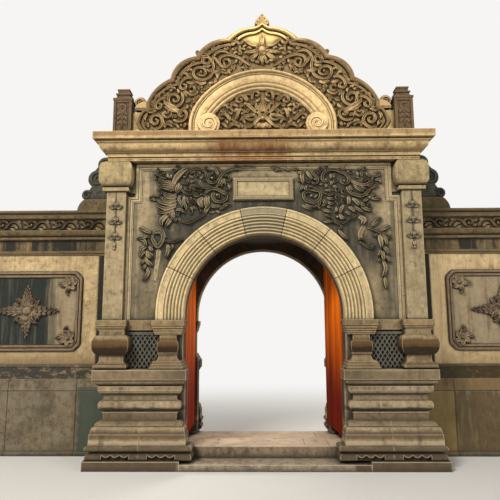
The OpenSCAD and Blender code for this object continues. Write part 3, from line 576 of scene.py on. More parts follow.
# %% [markdown]
# ## The wing walls
# The wing walls are plastered over a stone dado. The left panel has gone blue-black with damp, the
# right one is bleached in runs, and the plain fascia under the coping alternates black and pale. Left
# and right differ, so these stains ask for the sign of X as well as for the height.

# %% Stains of the plaster
def panel_wash(f, colour):
    """Inside its frame the panel is grey plaster, blue with damp to the left and bleached in runs."""
    inside = (abs(f.x).near(panel_x, panel_half_x + 0.005, panel_half_x - 0.005)
              * f.z.near(panel_z, panel_half_z + 0.005, panel_half_z - 0.005))
    streak = f.streaks(8.0, 0.08, shift=1.0)
    left = (f.x + streak * 0.5).rise(-2.42, -2.62)
    far_right = (f.x + streak * 0.6).rise(3.62, 3.76)
    grey = f.mix(left.most(far_right), (0.275, 0.215, 0.132), (0.018, 0.022, 0.019))
    white = f.streaks(22.0, 0.05, 5, 0.65, 2.0).rise(0.50, 0.64)
    grey = f.mix(white * (0.35 - left * 0.2), grey, (0.30, 0.27, 0.20))
    brown = f.streaks(12.0, 0.10, 5, 0.65, 6.0).rise(0.54, 0.66) * (1 - left)
    grey = f.mix(brown * 0.6, grey, (0.13, 0.075, 0.035))
    return f.mix(inside, colour, f.shade(grey, 0.45 + f.noise(18, 6, 0.75) * 1.1))


def plaster_drips(f, colour):
    """A painted pool of light brightens the plaster beside the right pier. Below the moulding the plaster has
    pale and brown drips, and it is browner at its foot.
    """
    # Painted light: a warm bright patch on the plaster beside the right pier.
    colour = f.mix(f.x.rise(pier_x, pier_x + 0.1) * f.x.rise(2.7, 2.1) * 0.6, colour, (0.98, 0.74, 0.40))
    drip = f.streaks(10.0, 0.06, shift=3.0).rise(0.5, 0.7) * f.z.rise(2.0, 2.5)
    foot = (f.z + f.noise(4.0, 4) * 0.15).rise(1.45, 1.15) * (0.5 + f.x.rise(0.0, -0.1) * 0.4)
    thin = f.streaks(30.0, 0.06, 4, 0.65, 9.0).rise(0.52, 0.66) * 0.4
    return f.mix((drip * 0.5).most(foot).most(thin), colour, (0.20, 0.135, 0.070))


def fascia_runs(f, colour):
    """On the plain fascia under the frieze, black and pale runs alternate."""
    fascia = f.z.near(fascia_z, fascia_half + 0.005, fascia_half - 0.005)
    tone = f.streaks(4.5, 0.08, 5, 0.65, 8.0)
    colour = f.mix(fascia * tone.rise(0.56, 0.46) * 0.92, colour, (0.014, 0.015, 0.013))
    colour = f.mix(fascia * tone.rise(0.58, 0.68) * 0.75, colour, (0.26, 0.20, 0.12))
    return f.mix(f.z.near(coping_course_z, 0.035, 0.012) * 0.8, colour, (0.028, 0.020, 0.012))


def pier_strip_shade(f, colour):
    """Painted shade makes the strip against the pier blue-black; the frame itself stays brown."""
    return f.mix(abs(f.x).rise(2.20, 2.19) * 0.95, colour, (0.016, 0.016, 0.013))


# %% Stains of the dado
def moss(f, colour):
    """A thin green bloom in drifts."""
    return f.mix(f.noise(2.6, 5, 0.6).rise(0.5, 0.66) * 0.45, colour, (0.085, 0.085, 0.045))


def dado_joints(f):
    """Two upright joints a side, which stop at the dado's moulding."""
    inner, outer = (abs(f.x).near(joint, 0.006, 0.002) * f.z.rise(dado_moulding_z, dado_moulding_z - 0.01)
                    for joint in (2.38, 3.25))
    return inner.most(outer)


def dado_patches(f, colour):
    """Teal damp beside the left pier, an olive slab beside the right one, green and white runs beyond it."""
    fleck = f.noise(5.0, 7, 0.72, shift=9.0)
    colour = f.mix(fleck.rise(0.50, 0.60) * f.x.rise(0.0, -0.1) * 0.5, colour, (0.20, 0.175, 0.13))
    teal = abs(f.x + 2.15 + fleck * 0.16 - 0.08).rise(0.22, 0.18) * f.z.rise(0.86, 0.80)
    colour = f.mix(teal * 0.85, colour, (0.046, 0.068, 0.050))
    right = f.x.rise(2.36, 2.40)
    colour = f.mix(right * 0.75, colour, (0.085, 0.054, 0.024))
    run = f.streaks(12.0, 0.14, 6, 0.68, 4.0)
    colour = f.mix(run.rise(0.52, 0.62) * right * 0.65, colour, (0.16, 0.145, 0.055))
    colour = f.mix(run.rise(0.42, 0.36) * right * 0.5, colour, (0.28, 0.24, 0.15))
    slab = f.x.near(2.17, 0.212, 0.208) * f.z.rise(0.80, 0.78)
    colour = f.mix(slab * 0.85, colour, f.mix(fleck, (0.14, 0.10, 0.035), (0.30, 0.215, 0.085)))
    upper = f.z.near(0.86, 0.075, 0.065) * f.x.rise(0.0, 0.1)
    return f.mix(upper * 0.7, colour, (0.19, 0.125, 0.055))


def dado_band(f, colour):
    """The dado's moulding is blotched, black and pale to the left, black and brown to the right."""
    blotch = f.noise(9.0, 5, 0.7, stretch=(1, 1, 1.6), shift=3.0)
    left = f.mix(blotch.rise(0.48, 0.62), (0.030, 0.030, 0.026), (0.23, 0.170, 0.095))
    right = f.mix(blotch.rise(0.52, 0.66), (0.040, 0.026, 0.011), (0.12, 0.085, 0.035))
    moulding = f.z.rise(dado_moulding_z - 0.005, dado_moulding_z + 0.005)
    return f.mix(moulding * 0.85, colour, f.mix(f.x.rise(0.0, 0.1), left, right))


# %% Plaster and stone of the wing walls
plaster = limestone("plaster", (0.52, 0.39, 0.21), (0.37, 0.27, 0.145), soot_and_shade_grey,
                    stain=(plaster_drips, panel_wash), runs=0.25, grime_and_shade=0.6, reach=0.12, pale=0.1)
dado_stone = limestone("dado_stone", (0.195, 0.15, 0.095), (0.095, 0.075, 0.048), soot_and_shade_grey,
                       stain=(moss, dado_patches, dado_band), joints=dado_joints, runs=0.6, grime_and_shade=1.1)
frame_stone = limestone("frame_stone", (0.21, 0.15, 0.09), (0.11, 0.08, 0.05), (0.022, 0.017, 0.012),
                        stain=(pier_strip_shade,), reach=0.05, grime_and_shade=1.3, pale=0.8)
wing_stone = limestone("wing_stone", (0.165, 0.115, 0.056), (0.075, 0.053, 0.028), (0.014, 0.013, 0.011),
                       stain=(moss, fascia_runs), reach=0.07, grime_and_shade=1.4, pale=0.95, runs=0.6)
shoulder_stone = limestone("shoulder_stone", (0.085, 0.080, 0.062), (0.040, 0.040, 0.034),
                           (0.012, 0.013, 0.013), stain=(moss,),
                           reach=0.08, grime_and_shade=1.4, pale=0.95, runs=0.6)
frieze_relief = limestone("frieze_relief", (0.27, 0.195, 0.10), (0.13, 0.096, 0.055),
                          (0.014, 0.013, 0.011), reach=0.03, grime_and_shade=0.8, pale=0.95, fine=0.6)
flower_stone = limestone("flower_stone", (0.27, 0.20, 0.125), (0.16, 0.115, 0.07),
                         (0.022, 0.018, 0.012), reach=0.03, grime_and_shade=0.8, pale=0.9, fine=0.6)


# %% [markdown]
# ## Painted timber and iron
# The leaves are planks painted red. The paint is a dark red low down and orange towards the top:
# painted light that stands for the glow on the upper boards. The grain telegraphs through as fine
# upright ridges. Old iron is nearly black, with rust where the scale has broken.

# %% Doors and brackets
def painted_boards(name, low, high):
    """Paint on upright boards, one colour at their foot and another at their head; the change between them is
    painted light, and the hollows get painted shade.
    """
    f = Finish(name)
    # Painted light: the colour glows orange towards the head, and the foot is lighter on the left leaf than
    # on the right.
    lit_towards_head = (f.z + f.streaks(5.0, 0.15) * 0.9).rise(1.0, 2.6)
    grain = f.streaks(28, 0.05, 6, 0.65)
    foot = f.shade(low, 0.72 + f.x.rise(0.5, -0.5) * 0.6)
    colour = f.shade(f.mix(lit_towards_head, foot, high), 0.75 + grain * 0.5)
    chipped = f.streaks(9, 0.35, 7, 0.75, 4.0).rise(0.60, 0.70)
    colour = f.mix(chipped * 0.5, colour, (0.14, 0.03, 0.008))
    board = f.streaks(9, 0.02, 3, 0.5, 2.0).rise(0.35, 0.65)
    colour = f.shade(colour, 0.6 + board * 0.6)
    # Painted shade in the gaps and hollows of the boards.
    colour = f.mix((f.hollow(0.05) * 1.3).least(0.85), colour, (0.03, 0.012, 0.008))
    roughness, height = 0.7 + grain * 0.2 + chipped * 0.1, grain * 0.7 - chipped * 0.4
    return f.close(colour, roughness, height, depth=0.002, soften=0.002, shine=0.04)


def rusty_iron(name):
    """Black iron, rusty in patches."""
    f = Finish(name)
    patches = f.noise(30, 6, 0.7)
    colour = f.mix(patches.rise(0.45, 0.65), (0.035, 0.03, 0.028), (0.13, 0.05, 0.02))
    f.plug(f.shader.inputs["Metallic"], 0.4)
    return f.close(colour, 0.6 + patches * 0.3, patches, depth=0.001, soften=0.002)


door_paint = painted_boards("door_paint", (0.20, 0.013, 0.002), (0.88, 0.175, 0.003))
post_paint = painted_boards("post_paint", (0.10, 0.020, 0.010), (0.36, 0.09, 0.016))
iron = rusty_iron("old_iron")


# %% [markdown]
# ## Which stone goes where
# Each piece of masonry is named after what it is, so the finishes are handed out by name.

# %% Hand out the finishes
finishes = {
    step_stone: ("base_slabs", "lower_step"),
    sill_stone: ("sill", "pivot_stones", "passage_floor"),
    carved_stone: ("pedestal_feet", "pedestals"),
    die_stone: ("corner_dies", "inner_dies"),
    lattice_stone: ("lattice_panels",),
    impost_stone: ("imposts",),
    pale_stone: ("capitals",),
    plaque_stone: ("plaques",),
    golden_stone: ("end_blocks", "finials"),
    shaft_stone: ("pilasters",),
    fillet_stone: ("spandrel_frames",),
    ashlar: ("jambs", "front_wall_head", "rear_wall_head"),
    core: ("left_pier", "right_pier", "passage_lintel"),
    arch_stone: ("front_arch_ring", "rear_arch_ring"),
    cornice_stone: ("entablature", "cornice"),
    gable_stone: ("pediment_walls",),
    coping_stone: ("pediment_copings",),
    hood_stone: ("hood_rings",),
    post_stone: ("corner_posts",),
    dado_stone: ("left_wing_dado", "right_wing_dado"),
    plaster: ("left_wing_wall", "right_wing_wall"),
    frame_stone: ("panel_frames",),
    wing_stone: ("left_wing_coping", "right_wing_coping", "shoulder_blocks"),
    shoulder_stone: ("shoulder_scrolls",),
    door_paint: ("left_leaf", "right_leaf"),
    post_paint: ("left_leaf_post", "right_leaf_post"),
    iron: ("pivot_brackets",),
}
for material, names in finishes.items():
    for name in names:
        for slot in nodes[name].material_slots:
            slot.material = material
print(sum(len(names) for names in finishes.values()), "nodes finished of", len(nodes))


# %% [markdown]
# ## Placing a piece
# A piece is a mesh on an object, and it rides on the part of the gate that carries it. The rear of
# the gate repeats its front, so most pieces are made once and a copy is turned half round.

# %% Meshes and their places
def solid(name, points, faces, finish):
    """A mesh from points and faces, with its finish."""
    mesh = bpy.data.meshes.new(name)
    mesh.from_pydata(points, [], faces)
    mesh.materials.append(finish)
    return mesh


def front_and_rear(name, mesh):
    """Sets a piece on the front of the gate and its copy on the rear."""
    for side, turn in (("front", 0), ("rear", math.pi)):
        piece = add(f"{side}_{name}", mesh if turn == 0 else mesh.copy())
        piece.data.transform(Matrix.Rotation(turn, 4, "Z"))
        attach(piece, "gate")
    print(name, "has", sum(len(face.vertices) - 2 for face in mesh.polygons), "triangles a side")


# %% [markdown]
# ## Setting out
# A carver works in strokes: a band that runs along a line and winds into a volute, a leaf that
# swells and narrows. A stroke is drawn as a few points on the wall face, across and up, and a smooth
# line is laid through them. Where a motif repeats, it's drawn once, facing one way from a start,
# and that drawing is turned to each of its places.

# %% Lines
def smooth(points, step=0.010):
    """A smooth line through given points, in short equal steps."""
    p = np.array(points, float)
    p = np.vstack([2 * p[0] - p[1], p, 2 * p[-1] - p[-2]])
    parts = []
    for a, b, c, d in zip(p, p[1:], p[2:], p[3:]):
        n = max(3, int(np.linalg.norm(c - b) / step))
        t = np.arange(n)[:, None] / n
        parts.append(b + 0.5 * t * (c - a + t * (2 * a - 5 * b + 4 * c - d + t * (3 * b - a - 3 * c + d))))
    return np.vstack(parts + [p[-2:-1]])


def way(degrees):
    """The direction at an angle from level."""
    return np.array((math.cos(math.radians(degrees)), math.sin(math.radians(degrees))))


def along(start, ahead, *drawn, hand=1):
    """Turns points drawn as (ahead, beside) to face a way from a start; hand = -1 mirrors them."""
    ahead = np.array(ahead, float)
    beside = np.array((-ahead[1], ahead[0])) * hand
    return [v for a, b in zip(drawn[::2], drawn[1::2]) for v in start + ahead * a + beside * b]


def tally(name, drawing):
    """Prints how many strokes of each kind a drawing has."""
    print(name + ":", ", ".join(f"{tool} {len(strokes)}" for tool, strokes in drawing.items()))


# %% Sections across a stroke
across = np.linspace(-1, 1, 9)
ROUND = (across, np.sqrt(1 - across ** 2))
ribs = np.array([-1, -0.9, -0.66, -0.42, -0.22, 0, 0.22, 0.42, 0.66, 0.9, 1])
RIBBED = (ribs, np.array([0, 0.75, 1, 0.66, 0.5, 0.62, 0.5, 0.66, 1, 0.75, 0]))
CUPPED = (ribs, np.array([0, 0.8, 1, 0.72, 0.56, 0.66, 0.56, 0.72, 1, 0.8, 0]))
print("a ribbed stroke has", len(ribs), "points across")


# %% [markdown]
# ## Carving tools
# Band and leaf are the same thing in a mesh: a section swept along a line while its width and
# height change. So one tool sweeps, a second raises a round boss, and the rest only choose lines,
# widths and sections. Every stroke is a closed form that dips 4 mm into the wall it stands on.

# %% Sweeping and doming
# How far a stroke dips into its wall
SUNK = 0.004


class Strokes:
    """Closed forms gathered on one flat face, in metres across, up and out of it."""

    def __init__(self):
        self.points, self.faces, self.count = [], [], 0

    def sweep(self, line, half, height, section=ROUND, lean=0.0):
        """Sweeps a section along a line. half and height are numbers or one value per point."""
        n = len(line)
        half, height = np.broadcast_to(half, n), np.broadcast_to(height, n)
        heading = np.gradient(line, axis=0)
        heading /= np.linalg.norm(heading, axis=1)[:, None] + 1e-9
        left = np.stack([-heading[:, 1], heading[:, 0]], 1)
        s, k = (np.concatenate(pair) for pair in zip(section, ([0.8, -0.8], [0, 0])))
        flat = (line[:, None] + left[:, None] * (s[None, :, None] * half[:, None, None])
                + heading[:, None] * (lean * np.abs(s)[None, :, None] * half[:, None, None]))
        rise = height[:, None] * k[None, :]
        rise[:, -2:] = -SUNK
        self.points.append(np.dstack([flat, rise]).reshape(-1, 3))
        m, base = len(s), self.count
        for a in range(base, base + (n - 1) * m, m):
            for j in range(m):
                after = (j + 1) % m
                self.faces.append((a + j, a + j + m, a + after + m, a + after))
        self.faces.append(tuple(range(base, base + m)))
        self.faces.append(tuple(reversed(range(base + (n - 1) * m, base + n * m))))
        self.count += n * m

    def boss(self, centre, radius, height):
        """A low dome."""
        rings, spokes = 4, 14
        turn = np.arange(spokes) * 2 * math.pi / spokes
        for i in range(rings):
            a = math.pi / 2 * i / rings
            level = height * math.sin(a) - (SUNK if i == 0 else 0)
            self.points.append(np.stack([centre[0] + radius * math.cos(a) * np.cos(turn),
                                         centre[1] + radius * math.cos(a) * np.sin(turn),
                                         np.full(spokes, level)], 1))
        self.points.append(np.array([[*centre, height]]))
        base, top = self.count, self.count + rings * spokes
        for i in range(rings - 1):
            for j in range(spokes):
                a, b = base + i * spokes + j, base + i * spokes + (j + 1) % spokes
                self.faces.append((a, b, b + spokes, a + spokes))
        last = top - spokes
        self.faces += [(last + j, last + (j + 1) % spokes, top) for j in range(spokes)]
        self.faces.append(tuple(reversed(range(base, base + spokes))))
        self.count = top + 1

    def mirrored(self):
        """Adds the same strokes on the other side of the gate's middle."""
        points = np.vstack(self.points)
        self.points = [points, points * (-1, 1, 1)]
        self.faces += [tuple(i + self.count for i in reversed(face)) for face in self.faces]
        self.count *= 2

    def stand(self, name, face_y, finish, slot):
        """Stands the strokes on the front face at Y = face_y, and copies them to the rear."""
        p = np.vstack(self.points)
        place = np.stack([p[:, 0], face_y - p[:, 2], p[:, 1]], 1)
        mesh = solid(name, place.tolist(), self.faces, finish)
        mesh.polygons.foreach_set("use_smooth", np.ones(len(mesh.polygons), bool))
        mesh.validate()
        front_and_rear(name, mesh)


# %% [markdown]
# ## The carver's own strokes
# A drawing lists its strokes by the tool that cuts them, in millimetres: a half width, then the
# points. Where the old drawing is too worn to read, small curls and leaves fill its gaps. They are
# scattered by a seeded draw, so each run carves the same ones, and they keep clear of each other.

# %% Bands, fronds and knobs
# Metres of half width for each millimetre drawn: a stroke is cut a little wider than its drawing
BAND, FROND = 1 / 870, 1 / 760


class Relief(Strokes):
    """A drawing on one face, in millimetres across and up."""

    def band(self, half, *drawn, height=0.045):
        """A ribbed ribbon of even width."""
        line = smooth(np.array(drawn).reshape(-1, 2) / 1000)
        t = np.linspace(0, 1, len(line))
        self.sweep(line, half * BAND * np.interp(t, [0, 0.08, 0.85, 1], [0.35, 1, 0.9, 0.45]),
                   height * np.interp(t, [0, 0.1, 0.9, 1], [0.45, 1, 1.1, 0.8]), RIBBED)

    def frond(self, half, *drawn, height=0.052):
        """A pointed leaf with raised edges that lifts towards its tip."""
        line = smooth(np.array(drawn).reshape(-1, 2) / 1000)
        t = np.linspace(0, 1, len(line))
        form = np.sin(np.pi * np.clip(0.12 + 0.86 * t, 0, 0.985) ** 0.9) ** 0.75
        lift = np.interp(t, [0, 0.35, 0.85, 1], [0.4, 0.75, 1.1, 0.6])
        self.sweep(line, half * FROND * form, height * lift, CUPPED, 0.25)

    def strip(self, half, *drawn):
        """A flat hanging ribbon in low relief."""
        self.band(half, *drawn, height=0.008)

    def knob(self, half, *centre):
        """A small round boss."""
        self.boss(np.array(centre) / 1000, half / 1000, 0.058)

    def carve(self, drawing):
        """Cuts a whole drawing: rows of strokes, listed by the tool that cuts them."""
        for tool, strokes in drawing.items():
            for stroke in strokes:
                getattr(self, tool)(*stroke)

    def fill(self, seed, low, high, room=(30, 62)):
        """Small curls and leaves in the gaps, clear of all strokes and not far from a drawn one."""
        rng = np.random.default_rng(seed)
        taken = drawn = np.vstack(self.points)[::5, :2] * 1000
        clear, far = room
        made = 0
        for place in rng.uniform(low, high, (2500, 2)):
            close = np.linalg.norm(drawn - place, axis=1).min()
            if close < far and np.linalg.norm(taken - place, axis=1).min() > clear:
                turn, hand = rng.uniform(0, 360), rng.choice((-1, 1))
                reach = rng.uniform(24, 40)
                if made % 2:
                    tool, half, leaf = self.frond, 11, (-reach, 0, 0, reach * 0.4, reach, 0)
                else:
                    tool, half, leaf = self.band, 8, (-reach, 0, 0, 22, 26, 6, 14, -16, 0, -4, 8, 4)
                tool(half, *along(place, way(turn), *leaf, hand=hand), height=0.036)
                taken = np.vstack([taken, place + np.outer((-reach, 0, reach), way(turn))])
                made += 1
        print("filled", made, "gaps")


# %% [markdown]
# ## The gable carving
# A sunburst flower sits in the peak, and from its foot S-scrolls run out and down either side of the
# hood, winding alternately up and down, with leaves and curls in the gaps. It was set out on one
# half and turned over for the other, which is how a carver's drawing was pricked through.

# %% The drawing of the gable's right half
gable_strokes = {
    "band": (
        (15, 154, 4928, 220, 4969, 285, 5022, 351, 5053, 427, 5071, 494, 5063, 546, 5033, 560, 4979, 533,
         4924, 483, 4908, 436, 4932, 419, 4974, 443, 5013, 487, 5017, 512, 4991),
        (15, 428, 5099, 471, 5124, 537, 5133, 597, 5109, 633, 5062, 647, 4999, 634, 4929, 642, 4860, 670,
         4790, 723, 4748, 790, 4734, 852, 4754, 891, 4811, 888, 4869, 845, 4901, 792, 4902, 743, 4875, 734,
         4824, 772, 4791, 819, 4807),
        (15, 813, 5053, 748, 5053, 691, 5040, 677, 4996, 706, 4959, 752, 4963, 779, 4997, 769, 5030, 736,
         5028),
        (15, 909, 4769, 982, 4764, 1045, 4717, 1066, 4651, 1031, 4608, 988, 4629, 992, 4667, 1026, 4681),
        (13, 833, 4594, 858, 4548, 911, 4529, 965, 4556, 1000, 4590),
        (12, 942, 4593, 912, 4568, 876, 4593, 884, 4639, 923, 4650, 948, 4627),
        (15, 1051, 4580, 1026, 4523, 1024, 4467, 1052, 4410, 1100, 4378, 1152, 4382, 1193, 4415, 1208, 4469,
         1199, 4515, 1159, 4538, 1109, 4527, 1080, 4489, 1092, 4446, 1132, 4443, 1150, 4477),
        (15, 1232, 4487, 1294, 4484, 1348, 4450, 1378, 4397, 1353, 4350, 1313, 4362, 1301, 4405, 1334,
         4423), (13, 1365, 4339, 1414, 4298, 1468, 4315, 1483, 4358),
        (11, 1385, 4361, 1418, 4336, 1451, 4361),
        (15, 1148, 4206, 1092, 4173, 1018, 4185, 977, 4242, 981, 4295, 1022, 4324, 1064, 4304, 1073, 4261,
         1036, 4239, 1014, 4264), (14, 1279, 4306, 1266, 4250, 1221, 4228, 1179, 4255, 1172, 4300),
        (11, 1258, 4317, 1240, 4284, 1208, 4293, 1213, 4325),
        (17, 1406, 4081, 1342, 4079, 1289, 4127, 1281, 4194, 1312, 4243, 1366, 4260, 1416, 4237, 1427, 4183,
         1389, 4141, 1349, 4153, 1342, 4193, 1373, 4211),
        (13, 1155, 4103, 1186, 4132, 1228, 4134, 1255, 4123), (13, 989, 4152, 993, 4123, 1015, 4094),
        (13, 254, 5282, 266, 5247, 303, 5234, 328, 5260, 322, 5288), (12, 340, 5182, 365, 5151, 392, 5161),
    ),
    "frond": (
        (16, 729, 4709, 786, 4683, 862, 4708), (14, 575, 4861, 607, 4849, 660, 4818),
        (12, 1139, 4645, 1156, 4634, 1161, 4606), (12, 1159, 4613, 1182, 4601, 1184, 4572),
        (14, 1178, 4544, 1210, 4537, 1222, 4510), (26, 1034, 4284, 1142, 4350, 1273, 4430),
        (16, 1096, 4308, 1182, 4329, 1258, 4374), (14, 1248, 4094, 1260, 4149, 1296, 4194),
        (12, 1068, 4084, 1101, 4128, 1143, 4139), (11, 313, 5288, 333, 5307, 346, 5288),
        (12, 1146, 4155, 1187, 4172, 1229, 4154), (14, 890, 4696, 937, 4691, 978, 4706),
        (13, 577, 4965, 599, 5011, 628, 5046), (12, 663, 4952, 716, 4914, 773, 4921),
        (12, 974, 4513, 997, 4546, 1019, 4580), (12, 960, 4399, 980, 4354, 1023, 4342),
        (12, 1216, 4397, 1238, 4430, 1271, 4453), (12, 1477, 4282, 1507, 4236, 1494, 4181),
        (20, 44, 5214, 135, 5220, 236, 5282), (18, 39, 5186, 104, 5122, 234, 5116),
        (18, 28, 5134, 92, 5061, 157, 4998), (14, -1, 5111, 36, 5029, 57, 4971),
        (12, 102, 5213, 168, 5238, 223, 5297), (12, 91, 5157, 156, 5110, 228, 5106),
        (12, 69, 5099, 134, 5051, 177, 5004), (12, 35, 5006, 57, 4971, 90, 4980),
        (12, 96, 5017, 122, 4993, 144, 5005), (12, 220, 5050, 242, 5041, 255, 5015),
        (12, -30, 5030, -6, 4995, -8, 4937),
    ),
    "knob": (
        (12, 794, 4844), (14, 1130, 4620), (14, 1037, 4118),
    ),
}
tally("the gable's right half", gable_strokes)

# %% Gable carving
flower_z = 5150
gable = Relief()
gable.carve(gable_strokes)
gable.fill(3, (120, 4110), (1500, 5260), (31, 75))
gable.mirrored()
gable.frond(20, 0, 5200, 4, 5290, -2, 5360)
gable.frond(18, 0, 5100, -6, 5020, 4, 4950)
for petal in range(8):
    gable.frond(13, *along((0, flower_z), way(45 * petal + 22), 26, 0, 92, 0), height=0.06)
gable.knob(52, 0, flower_z)
gable.stand("gable_carving", gable_face, gable_relief, "dark_stone")


# %% [markdown]
# ## The shell under the hood
# Inside the hood a fluted shell opens over a small flower, with volutes and leaves to each side. The
# shell is nine flutes fanned from one point, the longest upright.

# %% The drawing of the right half
shell_strokes = {
    "band": (
        (13, -199, 4440, -239, 4491, -279, 4523),
        (13, 177, 4455, 227, 4503, 276, 4515, 316, 4492, 333, 4454, 311, 4427, 277, 4431, 268, 4463, 292,
         4479), (12, 129, 4456, 134, 4508, 118, 4561, 81, 4574, 51, 4549, 60, 4513, 94, 4513),
        (12, 393, 4411, 412, 4359, 446, 4354, 454, 4390, 429, 4403),
        (11, 273, 4288, 255, 4267, 232, 4284, 242, 4313, 268, 4317),
        (12, 419, 4182, 460, 4244, 505, 4262, 548, 4247, 557, 4216, 528, 4202, 502, 4221),
        (14, 86, 4258, 105, 4200, 154, 4185, 213, 4205, 278, 4215), (9, 127, 4235, 153, 4247, 178, 4230),
        (14, 290, 4080, 320, 4113, 369, 4125, 418, 4106, 447, 4075),
    ),
    "frond": (
        (18, 82, 4281, 136, 4339, 182, 4378, 240, 4417), (12, 82, 4298, 120, 4331, 166, 4361),
        (14, 75, 4323, 83, 4373, 93, 4419), (14, 323, 4347, 343, 4316, 360, 4287),
        (12, 372, 4295, 392, 4326, 412, 4338), (12, 382, 4286, 411, 4274, 431, 4286),
        (14, 294, 4339, 322, 4266, 327, 4198), (12, 274, 4350, 309, 4287, 316, 4214),
        (14, 405, 4183, 434, 4228, 486, 4285), (16, 96, 4268, 155, 4247, 214, 4238, 274, 4219),
        (13, 380, 4162, 399, 4121, 427, 4089), (20, -90, 4167, -33, 4218, 5, 4207),
        (16, 42, 4201, 85, 4165, 114, 4127, 173, 4092), (16, 47, 4124, 84, 4093, 106, 4082),
        (14, 114, 4127, 163, 4098, 212, 4081), (12, 261, 4081, 271, 4112, 291, 4132),
        (14, 457, 4089, 487, 4120, 526, 4140), (12, 320, 4142, 350, 4162, 379, 4152),
        (12, 222, 4143, 252, 4184, 292, 4184), (10, 196, 4413, 176, 4393, 156, 4362),
        (12, -63, 4125, -33, 4094, -35, 4067), (12, 16, 4145, 35, 4103, 31, 4073),
        (12, -63, 4084, -82, 4115, -112, 4095),
    ),
}
tally("the shell's right half", shell_strokes)

# %% Shell carving
shell_foot = (0, 4268)
shell = Relief()
shell.carve(shell_strokes)
shell.fill(5, (60, 4090), (560, 4560), (31, 50))
shell.mirrored()
for flute in range(-4, 5):
    length = 150 - 5 * flute * flute
    shell.frond(13, *along(shell_foot, way(90 - 14 * flute), 30, 0, 0.6 * length, 0, length, 0), height=0.045)
shell.band(14, -72, 4300, -40, 4262, 0, 4250, 40, 4262, 72, 4300)
shell.frond(22, 0, 4140, 0, 4110, 0, 4064)
for side in (-1, 1):
    shell.frond(20, side * 20, 4146, side * 46, 4120, side * 60, 4078)
shell.knob(30, 0, 4206)
shell.stand("shell_carving", gable_face, gable_relief, "dark_stone")


# %% [markdown]
# ## The garland round the plaque
# Over the arch, acanthus scrolls spread from behind the plaque, gather in a knot beside each
# shoulder of the arch and hang down as a drop of leaves. The two sides were cut by two hands: the
# left ends in a looped ribbon, the right in a bow with spiky leaves. So they're drawn separately.

